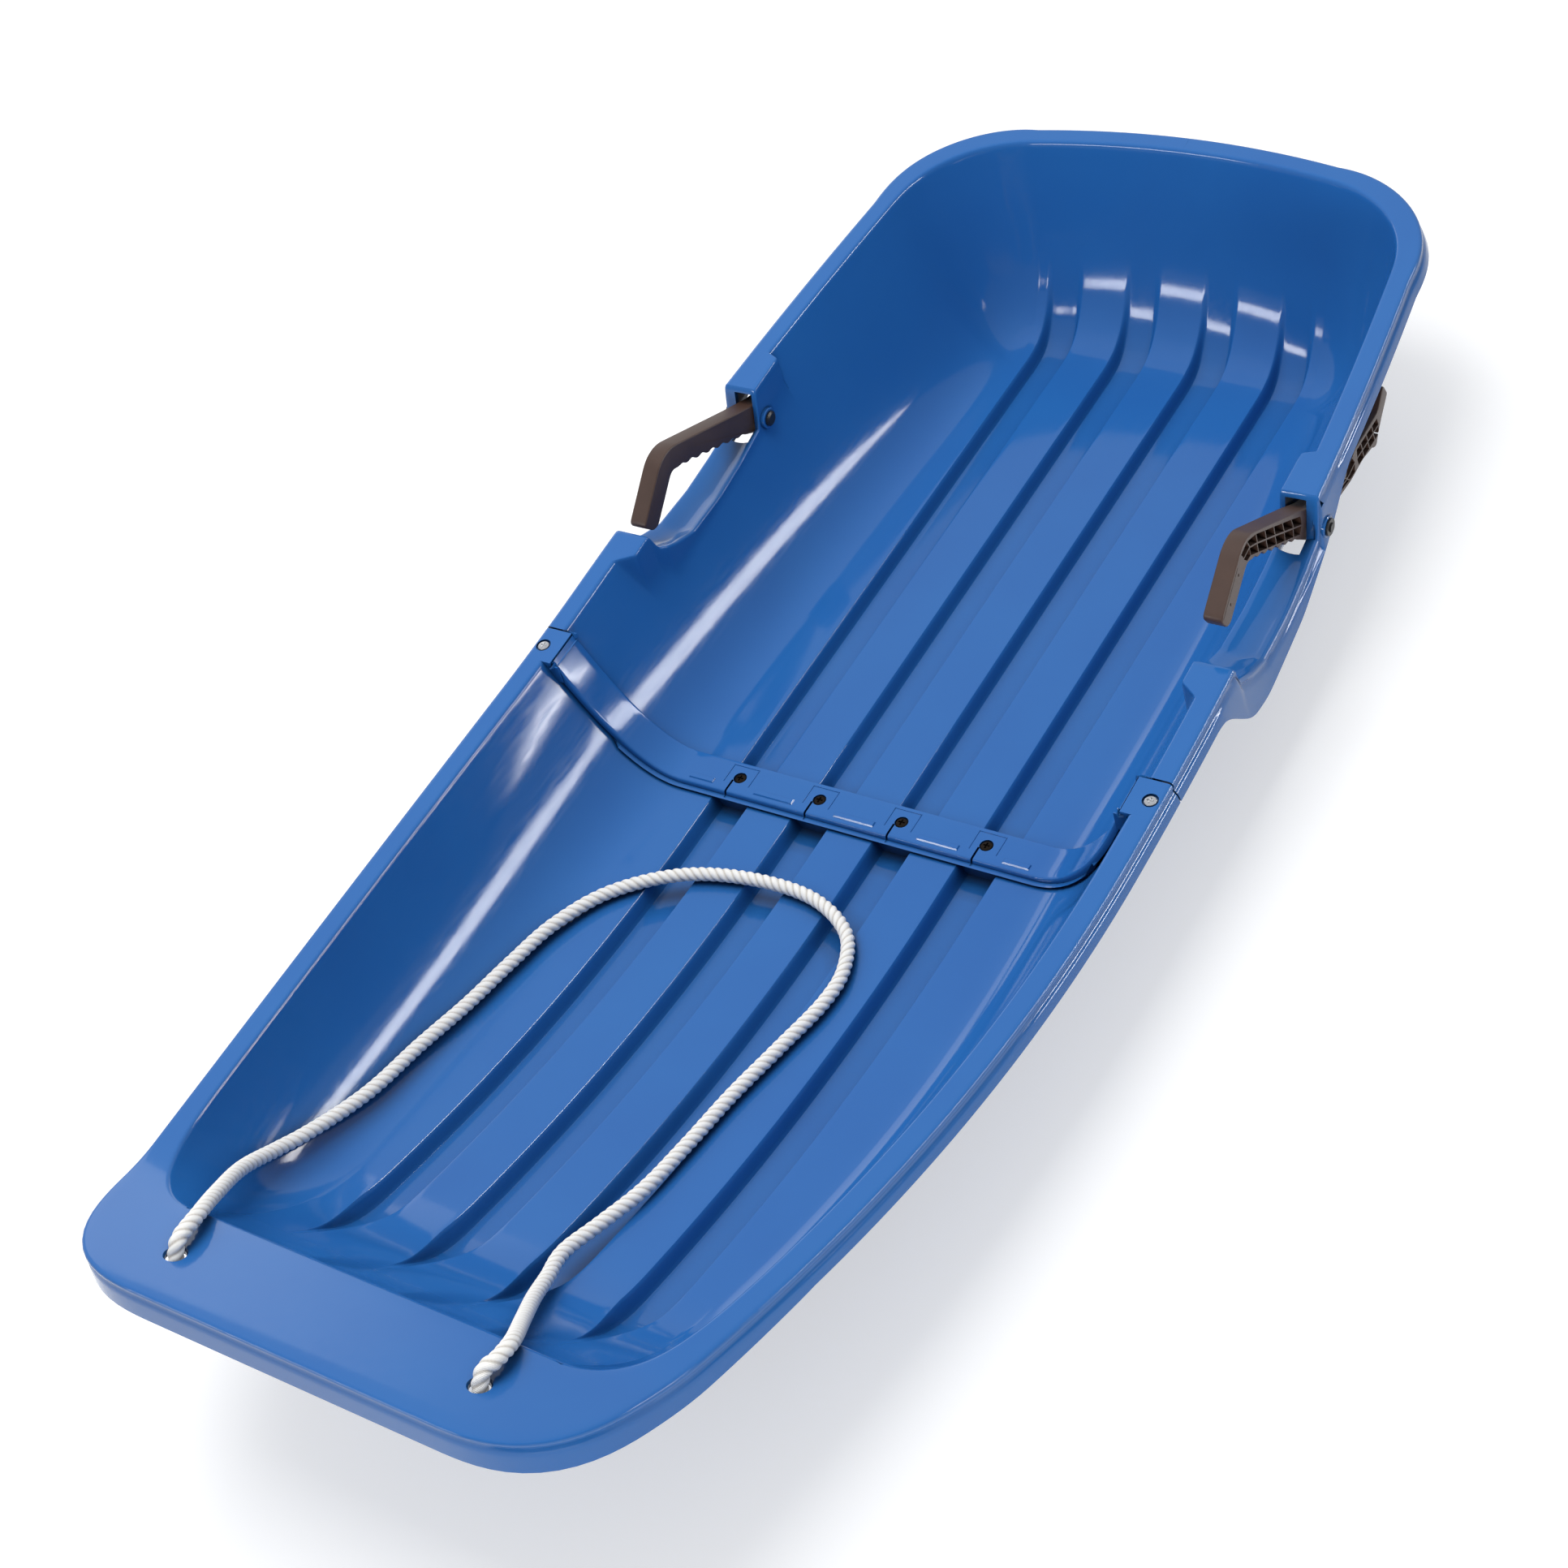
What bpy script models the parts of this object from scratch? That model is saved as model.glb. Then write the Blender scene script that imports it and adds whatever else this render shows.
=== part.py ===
"""Two-seat toboggan sled: two tub shells joined at a seam band, two brake levers, fixings and a tow rope.

Metres, +Z up, front towards -Y. The origin lies on the snow under the middle of the outline.
The tub is worked out from the seam's screw line: "along" is the distance behind that line,
and "level" is the height over the rear floor's upper face.
"""
import math

import bmesh
import bpy
from mathutils import Matrix, Vector

# Moulded shells
wall = 0.0035
fit_gap = 0.0003
merge_distance = 0.00001
tub_half_width = 0.222
straight_length = 0.05
front_taper_radius = 1.9
rear_taper_radius = 3.57
rear_bow_radius = 0.66
tub_front = 0.491
tub_rear = 0.5563
flange_width = 0.0153
corner_flange_share = 0.2
skirt_drop = 0.015
skirt_flare = 0.0035
nose_skirt_drop = 0.024

# Rim line
rim_low = 0.1022
rim_low_along = -0.075
rim_sweep_radius = 1.724
rear_rim_slope_share = 0.0765
deck_level = 0.156
deck_slope_share = 0.435
deck_depth = 0.067
deck_corner = 0.072

# Tub walls: run is the plan distance between the floor's edge and the rim
floor_half_width = 0.135
nose_narrowing = 0.025
tail_narrowing = 0.007
side_run = tub_half_width - floor_half_width
nose_side_run = side_run - nose_narrowing
tail_side_run = side_run - tail_narrowing
nose_run = 0.11
tail_run = 0.097
side_power = 2.15
nose_power = 2.5
tail_power = 3.0
nose_corner_power = 4.0
tail_corner_power = 2.85
deck_corner_power = 3.0
ring_shares = (0, 0.22, 0.42, 0.6, 0.76, 0.9, 1)
tail_ring_count = 6
corner_turns = 5
front_row_count = 6
rear_row_count = 3
slope_step_share = 0.01
solving_rounds = 12

# Floor and channels
floor_step = 0.0045
nose_start = 0.046
nose_radius = 1.2
channel_pitch = 0.0643
channel_pair_count = 2
channel_width = 0.0283
channel_draft = 0.0037
channel_depth = 0.0105
front_channel_depth = 0.0115
fade_start_share = 0.2
fade_end_share = 0.72
channel_tip_share = 0.15
shoe_width_share = 0.7
shoe_length = 0.06

# Seam band of the rear shell, and the front shell's tail under it
band_front = 0.0145
band_rear = 0.014
band_height = 0.0105
band_wall_height = 0.0065
step_run = 0.0002
lip_gap = 0.0005
front_wall_end = 0.0152
tail_overlap = 0.0098
ledge_drop = 0.0005
ledge_root_share = 0.7
ledge_tie = 0.003
tab_rear = 0.0128
boss_radius = 0.0075

# Hand cut-outs and brake housings
cutout_front = 0.1083
cutout_length = 0.1477
cutout_depth = 0.0305
block_start = 0.0805
block_full = 0.0895
block_inset = 0.0133
cheek_inset = 0.0177
block_inner = tub_half_width - block_inset
cheek_inner = tub_half_width - cheek_inset
housing_length = 0.034
housing_end_run = 0.007
deep_skirt = 0.0425
trough_dip = 0.003
slot_side_gap = 0.0006
slot_top_drop = 0.0042
slot_forward = 0.023
slot_rearward = 0.006
slot_below_pivot = 0.03
cutout_shares = ((0, 0), (0.022, 0.46), (0.13, 0.75), (0.27, 1), (0.52, 0.98), (0.75, 0.82),
                 (0.865, 0.69), (0.945, 0.61))
skirt_shares = ((-0.22, 0), (-0.155, 0.1), (-0.074, 0.43), (0.047, 0.87), (0.21, 1), (0.65, 0.88),
                (1, 0.53), (1.3, 0))

# Brake levers, measured from the pivot with the grip at its lower stop
pivot_setback = 0.0025
pivot_along = cutout_front + cutout_length + pivot_setback
pivot_level = 0.0945
lever_width = 0.0135
lever_side_gap = 0.0011
lever_lean_share = 0.042
hub_radius = 0.0118
grip_top = 0.0103
grip_angle = math.radians(23.65)
grip_reach = 0.1045
grip_drop_angle = math.radians(41.5)
grip_drop_length = 0.0478
grip_depth = 0.018
grip_end_depth = 0.015
grip_end_chamfer = 0.004
bend_radius = 0.024
scallop_count = 4
scallop_depth = 0.002
grip_bend_steps = 4
hub_under_angle = math.radians(75)
hub_under_turn = math.radians(20)
hub_under_count = 3
arm_reach = 0.1426
arm_taper = 0.0056
arm_taper_start_share = 0.45
arm_shares = ((0.2, 0.03), (0.411, 0.02), (0.533, 0.086), (0.663, 0.086), (0.856, 0.094),
              (0.945, 0.19), (1, 0.121), (0.963, 0.085), (0.908, 0.032), (0.858, -0.027),
              (0.834, -0.074), (0.799, -0.071), (0.777, -0.053), (0.631, -0.035), (0.491, -0.046))
left_rest_angle = 0
right_rest_angle = math.radians(10.2)
pin_radius = 0.003
pin_head_radius = 0.0056
pin_head_thickness = 0.0022
pin_head_top_share = 0.7
pin_head_side_share = 0.5
pin_tail = 0.0012
retainer_radius = 0.006
retainer_thickness = 0.0012
pivot_boss_radius = 0.0095
pin_collar_radius = 0.0078
pin_collar_height = 0.003
vent_height = 0.0175
vent_size = 0.004

# Screws
screw_head_top_share = 0.8
screw_head_side_share = 0.6
floor_screw_radius = 0.002
floor_head_radius = 0.0041
floor_head_thickness = 0.0022
floor_recess_radius = 0.0048
floor_recess_depth = 0.0022
washer_radius = 0.0055
washer_thickness = 0.001
nut_radius = 0.0045
nut_side_count = 6
nut_thickness = 0.0032
screw_tail = 0.001
rim_screw_along = -0.0023
rim_screw_offset = 0.0078
rim_screw_x = tub_half_width + rim_screw_offset
rim_screw_radius = 0.0018
rim_head_radius = 0.004
rim_head_thickness = 0.0016
rim_recess_radius = 0.0047
rim_recess_depth = 0.001

# Tow rope
rope_diameter = 0.0095
rope_hole_x = 0.1066
rope_hole_along = -0.5243
rope_hole_gap = 0.0012
rope_step_share = 2.3
rope_close_count = 4
rope_bevel_count = 2
curve_steps = 16
knot_radius = 0.0125
knot_height = 0.02
knot_sides = 16
knot_rings = 10

overrun = 0.01
round_sides = 24
sharp_angle = math.radians(35)
upright = (0, 0, 1)
crosswise = (1, 0, 0)

base_level = channel_depth + wall
seam_y = (tub_front + deck_depth - tub_rear - flange_width) / 2

# Colours as linear values
shell_blue = (0.035, 0.155, 0.43, 1)
lever_brown = (0.06, 0.048, 0.042, 1)
pin_black = (0.02, 0.02, 0.022, 1)
screw_bronze = (0.16, 0.12, 0.09, 1)
screw_silver = (0.75, 0.75, 0.76, 1)
zinc_grey = (0.5, 0.5, 0.52, 1)
rope_white = (0.86, 0.84, 0.8, 1)


def place(x, along, level):
    """A point of the sled's own frame from its tub measurements."""
    return Vector((x, along + seam_y, level + base_level))


def clear_scene():
    for item in list(bpy.data.objects):
        bpy.data.objects.remove(item, do_unlink=True)


def collection(name):
    found = bpy.data.collections.new(name)
    bpy.context.scene.collection.children.link(found)
    return found


def material(name, colour, roughness, metallic):
    made = bpy.data.materials.new(name)
    made.use_nodes = True
    shader = made.node_tree.nodes["Principled BSDF"]
    shader.inputs["Base Color"].default_value = colour
    shader.inputs["Roughness"].default_value = roughness
    shader.inputs["Metallic"].default_value = metallic
    return made


def interpolate(table, value):
    """Straight-line reading of a table of pairs, held at its first and last values."""
    if value <= table[0][0]:
        return table[0][1]
    for (left, low), (right, high) in zip(table, table[1:]):
        if value <= right:
            return low + (high - low) * (value - left) / (right - left)
    return table[-1][1]


def smooth(share):
    share = min(max(share, 0), 1)
    return share * share * (3 - 2 * share)


# Lines of the tub


def half_width(along):
    """Inside half width at the rim: straight at the seam, then one large arc each way."""
    radius = front_taper_radius if along < 0 else rear_taper_radius
    past = max(abs(along) - straight_length, 0)
    return tub_half_width - past * past / (2 * radius)


def rim_height(along):
    """Rim level: an arc that turns into a straight climb to the rear and into the deck at the nose."""
    rise = along - rim_low_along
    knee = rear_rim_slope_share * rim_sweep_radius
    if rise > knee:
        return rim_low + knee * knee / (2 * rim_sweep_radius) + rear_rim_slope_share * (rise - knee)
    swept = rim_low + rise * rise / (2 * rim_sweep_radius)
    if rise < 0:
        return max(swept, deck_level - deck_slope_share * (along + tub_front))
    return swept


def front_floor(along):
    past = max(-along - nose_start, 0)
    return floor_step + past * past / (2 * nose_radius)


def rear_floor(along):
    return 0


class Tub:
    """One end of the tub's upper face: side rows, a corner fan and end columns."""

    def __init__(self, way, end, end_run, pole_side_run, end_power, corner_power, bow, floor):
        self.way = way
        self.end = end
        self.pole = end - end_run
        self.pole_side_run = pole_side_run
        self.end_power = end_power
        self.corner_power = corner_power
        self.bow = bow
        self.floor = floor

    def run(self, along):
        share = min(max(self.way * along / self.pole, 0), 1)
        return side_run + (self.pole_side_run - side_run) * share

    def end_line(self, x):
        return self.end - (x * x / (2 * self.bow) if self.bow else 0)

    def fade(self, share):
        """How much of a channel is left at a share of the end wall's run."""
        return 1 - smooth((share - fade_start_share) / (fade_end_share - fade_start_share))

    def spread(self, share):
        """Channel width share up the end wall: the front channels close to a tip."""
        if self.way > 0:
            return 1
        return channel_tip_share + (1 - channel_tip_share) * self.fade(share)

    def plan(self, station, share):
        """Plan place of a station at a share of the way from the floor's edge to the rim."""
        side, end, column, along = station
        y = along
        x = 0
        for _ in range(solving_rounds):
            run = self.run(y)
            if column is None:
                x = half_width(y) - run * (1 - side * share)
            else:
                x = column[0] + column[1] * self.spread(end * share)
            y = along + self.way * end * share * (self.end_line(x) - self.pole)
        return x, y

    def power(self, station):
        turn = math.atan2(station[1], station[0]) / math.radians(90)
        return side_power + (self.end_power - side_power) * turn

    def point(self, station, share, top_share=1):
        """Point of the upper face as (x, along, level)."""
        x, y = self.plan(station, share * top_share)
        top_y = self.plan(station, 1)[1]
        rise = rim_height(top_y) - self.floor(top_y)
        return x, y, self.floor(y) + rise * (share * top_share) ** self.power(station)

    def side_station(self, along):
        return 1, 0, None, along

    def stations_round_end(self):
        """Stations from the last side row round the corner to the centre plane."""
        found = []
        for step in range(1, corner_turns):
            angle = math.radians(90) * step / corner_turns
            side = math.cos(angle) ** (2 / self.corner_power)
            end = math.sin(angle) ** (2 / self.corner_power)
            found.append((side, end, None, self.way * self.pole))
        edge = half_width(self.pole * self.way) - self.run(self.pole * self.way)
        found.append((0, 1, (edge, 0), self.way * self.pole))
        for centre, offset, _ in reversed(channel_columns()):
            found.append((0, 1, (centre, offset), self.way * self.pole))
        return found

    def channel_share(self, station, share):
        """Channel depth share at an end station, 0 off the channels."""
        if station[2] is None:
            return 0
        for centre, offset, depth in channel_columns():
            if station[2] == (centre, offset):
                return depth * self.fade(share)
        return 0

    def sunk(self, station, share, depth):
        """End wall point moved down its own normal by the channel there."""
        x, y, z = self.point(station, share)
        amount = depth * self.channel_share(station, share)
        if amount == 0 or share == 0:
            return x, y, z - amount
        near = self.point(station, max(share - slope_step_share, 0))
        far = self.point(station, min(share + slope_step_share, 1))
        slope_y, slope_z = far[1] - near[1], far[2] - near[2]
        size = math.hypot(slope_y, slope_z)
        return x, y + self.way * amount * slope_z / size, z - amount * abs(slope_y) / size


def channel_columns():
    """Floor columns from the centre plane out: (channel centre, offset, depth share)."""
    found = [(0, 0, 0)]
    half = channel_width / 2
    for index in range(channel_pair_count):
        centre = channel_pitch * (index + 0.5)
        bottom = half - channel_draft
        for offset, depth in ((-half, 0), (-bottom, 1), (bottom, 1), (half, 0)):
            found.append((centre, offset, depth))
    return found


front_tub = Tub(-1, tub_front, nose_run, nose_side_run, nose_power, nose_corner_power, None,
                front_floor)
rear_tub = Tub(1, tub_rear, tail_run, tail_side_run, tail_power, tail_corner_power,
               rear_bow_radius, rear_floor)


def floor_row(tub, along, depth):
    """One row across the floor, from the centre plane to the floor's edge."""
    row = []
    for centre, offset, share in channel_columns():
        row.append((centre + offset, along, tub.floor(along) - depth * share))
    edge = half_width(along) - tub.run(along)
    row.append((edge, along, tub.floor(along)))
    return row


def outward(line):
    """Plan normals of a run of points that goes from the seam round to the centre plane."""
    found = []
    for index, point in enumerate(line):
        before = line[max(index - 1, 0)]
        after = line[min(index + 1, len(line) - 1)]
        if index == 0:
            found.append((1, 0))
            continue
        if index == len(line) - 1:
            found.append((0, 1 if point[1] > 0 else -1))
            continue
        step_x, step_y = after[0] - before[0], after[1] - before[1]
        size = math.hypot(step_x, step_y)
        way = 1 if point[1] > 0 or step_y > 0 else -1
        found.append((way * step_y / size, -way * step_x / size))
    return found


# Mesh helpers


def add_grid(mesh, rows):
    """Quads between neighbouring rows of equal length: rows run outwards, each next one further back."""
    made = [[mesh.verts.new(place(*point)) for point in row] for row in rows]
    for near, far in zip(made, made[1:]):
        for index in range(len(near) - 1):
            mesh.faces.new((near[index], near[index + 1], far[index + 1], far[index]))


def link_mesh(name, mesh, where, look):
    data = bpy.data.meshes.new(name)
    mesh.to_mesh(data)
    mesh.free()
    return link_data(name, data, where, look)


def link_data(name, data, where, look):
    item = bpy.data.objects.new(name, data)
    where.objects.link(item)
    if look is not None:
        data.materials.clear()
        data.materials.append(look)
        data.shade_smooth()
        data.set_sharp_from_angle(angle=sharp_angle)
    return item


def shell_object(name, mesh, where, look):
    """Closes a half sheet into a shell: welded, mirrored and given its wall below."""
    bmesh.ops.remove_doubles(mesh, verts=mesh.verts, dist=merge_distance)
    bmesh.ops.dissolve_degenerate(mesh, edges=mesh.edges, dist=merge_distance)
    bmesh.ops.recalc_face_normals(mesh, faces=mesh.faces)
    upward = sum(face.normal.z * face.calc_area() for face in mesh.faces)
    if upward < 0:
        bmesh.ops.reverse_faces(mesh, faces=mesh.faces)
    item = link_mesh(name, mesh, where, look)
    mirror = item.modifiers.new("Mirror", "MIRROR")
    mirror.merge_threshold = merge_distance
    solid = item.modifiers.new("Wall", "SOLIDIFY")
    solid.thickness = wall
    solid.offset = -1
    solid.use_even_offset = True
    solid.use_quality_normals = True
    return item


def boolean(item, other, operation):
    step = item.modifiers.new(operation.title(), "BOOLEAN")
    step.operation = operation
    step.object = other
    step.solver = "EXACT"
    other.hide_render = True
    other.display_type = "WIRE"


def cutter_box(name, low, high, where):
    """A box between two corners given as (x, along, level)."""
    mesh = bmesh.new()
    bmesh.ops.create_cube(mesh, size=1)
    start, stop = place(*low), place(*high)
    middle = (start + stop) / 2
    size = stop - start
    for corner in mesh.verts:
        corner.co = Vector([middle[axis] + corner.co[axis] * size[axis] for axis in range(3)])
    return link_mesh(name, mesh, where, None)


def cutter_rod(name, centre, radius, length, axis, where):
    """A rod of a given length centred on (x, along, level), along X, Z or a direction."""
    mesh = bmesh.new()
    bmesh.ops.create_cone(mesh, cap_ends=True, segments=round_sides, radius1=radius, radius2=radius,
                          depth=length)
    turn = Vector((0, 0, 1)).rotation_difference(Vector(axis)).to_matrix().to_4x4()
    bmesh.ops.transform(mesh, matrix=Matrix.Translation(place(*centre)) @ turn, verts=mesh.verts)
    return link_mesh(name, mesh, where, None)


def turned(name, profile, where, look):
    """A turned piece from (radius, height) points that run down its outer side."""
    data = bpy.data.meshes.new(name)
    data.from_pydata([(radius, 0, height) for radius, height in profile],
                     [(index, index + 1) for index in range(len(profile) - 1)], [])
    item = link_data(name, data, where, look)
    screw = item.modifiers.new("Turn", "SCREW")
    screw.steps = round_sides
    screw.render_steps = round_sides
    screw.use_merge_vertices = True
    screw.merge_threshold = merge_distance
    return item


# Shells


def rear_skirt_bottom(along):
    extra = interpolate(skirt_shares, (along - cutout_front) / cutout_length)
    return rim_height(along) - skirt_drop - deep_skirt * extra


def cutout_level(along):
    share = (along - cutout_front) / cutout_length
    return rim_height(cutout_front) - cutout_depth * interpolate(cutout_shares, share)


def inner_limit(along):
    """Largest half width of the rear tub's inner face, where blocks and cheeks stand in from the wall."""
    cutout_rear = cutout_front + cutout_length
    housing_rear = cutout_rear + housing_length
    table = ((block_start, tub_half_width), (block_full, block_inner), (cutout_front, block_inner),
             (cutout_front + block_full - block_start, cheek_inner), (housing_rear, cheek_inner),
             (housing_rear + housing_end_run, tub_half_width))
    return interpolate(table, along)


def rear_side_row(along, level=None):
    """Wall, flange and skirt of one rear side row, cut down to a level if one is given."""
    station = rear_tub.side_station(along)
    top = rim_height(along) if level is None else level
    top_share = (top / rim_height(along)) ** (1 / side_power)
    row = []
    for share in ring_shares:
        x, y, z = rear_tub.point(station, share, top_share)
        row.append((min(x, inner_limit(along)), y, z))
    inner = row[-1][0]
    outer = half_width(along) + flange_width
    dip = trough_dip if level is not None else 0
    row.append(((inner + outer) / 2, along, top - dip))
    row.append((outer, along, top))
    row.append((outer + skirt_flare, along, rear_skirt_bottom(along)))
    return row


def band_row(along, lift, wall_lift):
    """Floor and wall of one row of the seam band, raised off the rear tub's face."""
    station = rear_tub.side_station(along)
    row = [(x, y, z + lift) for x, y, z in floor_row(rear_tub, along, 0)][:-1]
    for share in ring_shares[:-1]:
        x, y, z = rear_tub.point(station, share)
        near = rear_tub.point(station, max(share - slope_step_share, 0))
        far = rear_tub.point(station, share + slope_step_share)
        size = math.hypot(far[0] - near[0], far[2] - near[2])
        amount = lift + (wall_lift - lift) * share
        row.append((x - amount * (far[2] - near[2]) / size, y, z + amount * (far[0] - near[0]) / size))
    row.append(band_top_edge(along))
    return row


def band_top_edge(along):
    """Upper edge of the band's wall, under the front shell's tab."""
    return half_width(along) - band_wall_height, along, rim_height(along) - wall - fit_gap


def ledge_top():
    return rim_height(-band_front) - wall - fit_gap - ledge_drop


def add_ledge(item, side, cutters):
    """Ledge under the front shell's tab: a plate out of the band's wall, tied to the flange behind."""
    top = ledge_top()
    inner = side * (half_width(0) - band_wall_height + wall * ledge_root_share)
    outer = side * (half_width(0) + flange_width - wall - fit_gap)
    rear = band_rear + step_run + ledge_tie
    low, high = sorted((inner, outer))
    plate = cutter_box("ledge", (low, step_run - band_front, top - wall), (high, rear, top), cutters)
    boolean(item, plate, "UNION")
    low, high = sorted((side * (half_width(0) + wall), outer - side * fit_gap))
    tie_top = rim_height(band_rear) - wall / 2
    tie = cutter_box("ledge_tie", (low, band_rear + step_run + fit_gap, top - wall / 2),
                     (high, rear - fit_gap, tie_top), cutters)
    boolean(item, tie, "UNION")
    low, high = sorted((side * (half_width(0) - band_wall_height - overrun), outer + side * overrun))
    seat = rim_height(band_rear) - wall - fit_gap
    room = cutter_box("tab_room", (low, band_rear - 2 * wall, seat),
                      (high, tab_rear + fit_gap, seat + overrun), cutters)
    boolean(item, room, "DIFFERENCE")


def lip_row(along):
    """The band's front lip comes down to just over the front tub's face."""
    station = front_tub.side_station(along)
    row = [(x, y, z + lip_gap) for x, y, z in floor_row(front_tub, along, 0)][:-1]
    for share in ring_shares[:-1]:
        x, y, z = front_tub.point(station, share)
        near = front_tub.point(station, max(share - slope_step_share, 0))
        far = front_tub.point(station, share + slope_step_share)
        size = math.hypot(far[0] - near[0], far[2] - near[2])
        row.append((x - lip_gap * (far[2] - near[2]) / size, y, z + lip_gap * (far[0] - near[0]) / size))
    level = rim_height(along) - wall - fit_gap
    share = (level / rim_height(along)) ** (1 / side_power)
    row.append((front_tub.point(station, share)[0] - lip_gap, along, level))
    return row


def end_rows(tub, outer_line, depth, drop):
    """Rings of a tub's corner and end, each a row from the floor's edge out to the skirt's bottom."""
    rows = []
    stations = [tub.side_station(tub.way * tub.pole)] + tub.stations_round_end()
    for station, outer, normal in zip(stations, outer_line, outward(outer_line)):
        row = [tub.sunk(station, share, depth) for share in ring_shares]
        inner = row[-1]
        top = rim_height(outer[1])
        middle = ((inner[0] + outer[0]) / 2, (inner[1] + outer[1]) / 2)
        row.append((middle[0], middle[1], (inner[2] + top) / 2))
        row.append((outer[0], outer[1], top))
        row.append((outer[0] + normal[0] * skirt_flare, outer[1] + normal[1] * skirt_flare,
                    top - drop(outer)))
        rows.append(row)
    return rows


def rear_outer_line():
    """Outer edge round the rear: the rim's own line, moved out by the flange."""
    stations = [rear_tub.side_station(rear_tub.pole)] + rear_tub.stations_round_end()
    rim = [rear_tub.plan(station, 1) for station in stations]
    line = []
    for station, point, normal in zip(stations, rim, outward(rim)):
        turn = math.atan2(station[1], station[0])
        reach = flange_width * (1 + corner_flange_share * math.sin(2 * turn))
        line.append((point[0] + normal[0] * reach, point[1] + normal[1] * reach))
    line[0] = (half_width(rear_tub.pole) + flange_width, rear_tub.pole)
    line[-1] = (0, tub_rear + flange_width)
    return line


def front_outer_line():
    """Outer edge round the nose: the side carries on, then a rounded corner and a straight front."""
    front = tub_front + deck_depth
    pole = front - deck_corner
    start = front_tub.pole
    line = [(half_width(-start) + flange_width, -start)]
    for step in range(1, corner_turns + 1):
        turn = step / corner_turns
        along = start + (pole - start) * min(turn * 2, 1)
        angle = math.radians(90) * max(turn * 2 - 1, 0)
        side = math.cos(angle) ** (2 / deck_corner_power)
        end = math.sin(angle) ** (2 / deck_corner_power)
        y = along + deck_corner * end if angle > 0 else along
        x = half_width(-y) + flange_width - deck_corner * (1 - side)
        line.append((x, -y))
    last = line[-1][0]
    columns = channel_columns()
    widest = columns[-1][0] + columns[-1][1]
    for centre, offset, _ in reversed(columns):
        line.append((min(centre + offset, widest) * last / (widest + deck_corner / 2), -front))
    return line


def nose_drop(outer):
    """The front skirt deepens from the sides to the nose."""
    share = (-outer[1] - front_tub.pole) / (tub_front + deck_depth - front_tub.pole)
    return skirt_drop + (nose_skirt_drop - skirt_drop) * min(max(share, 0), 1)


def rear_drop(outer):
    return skirt_drop


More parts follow.
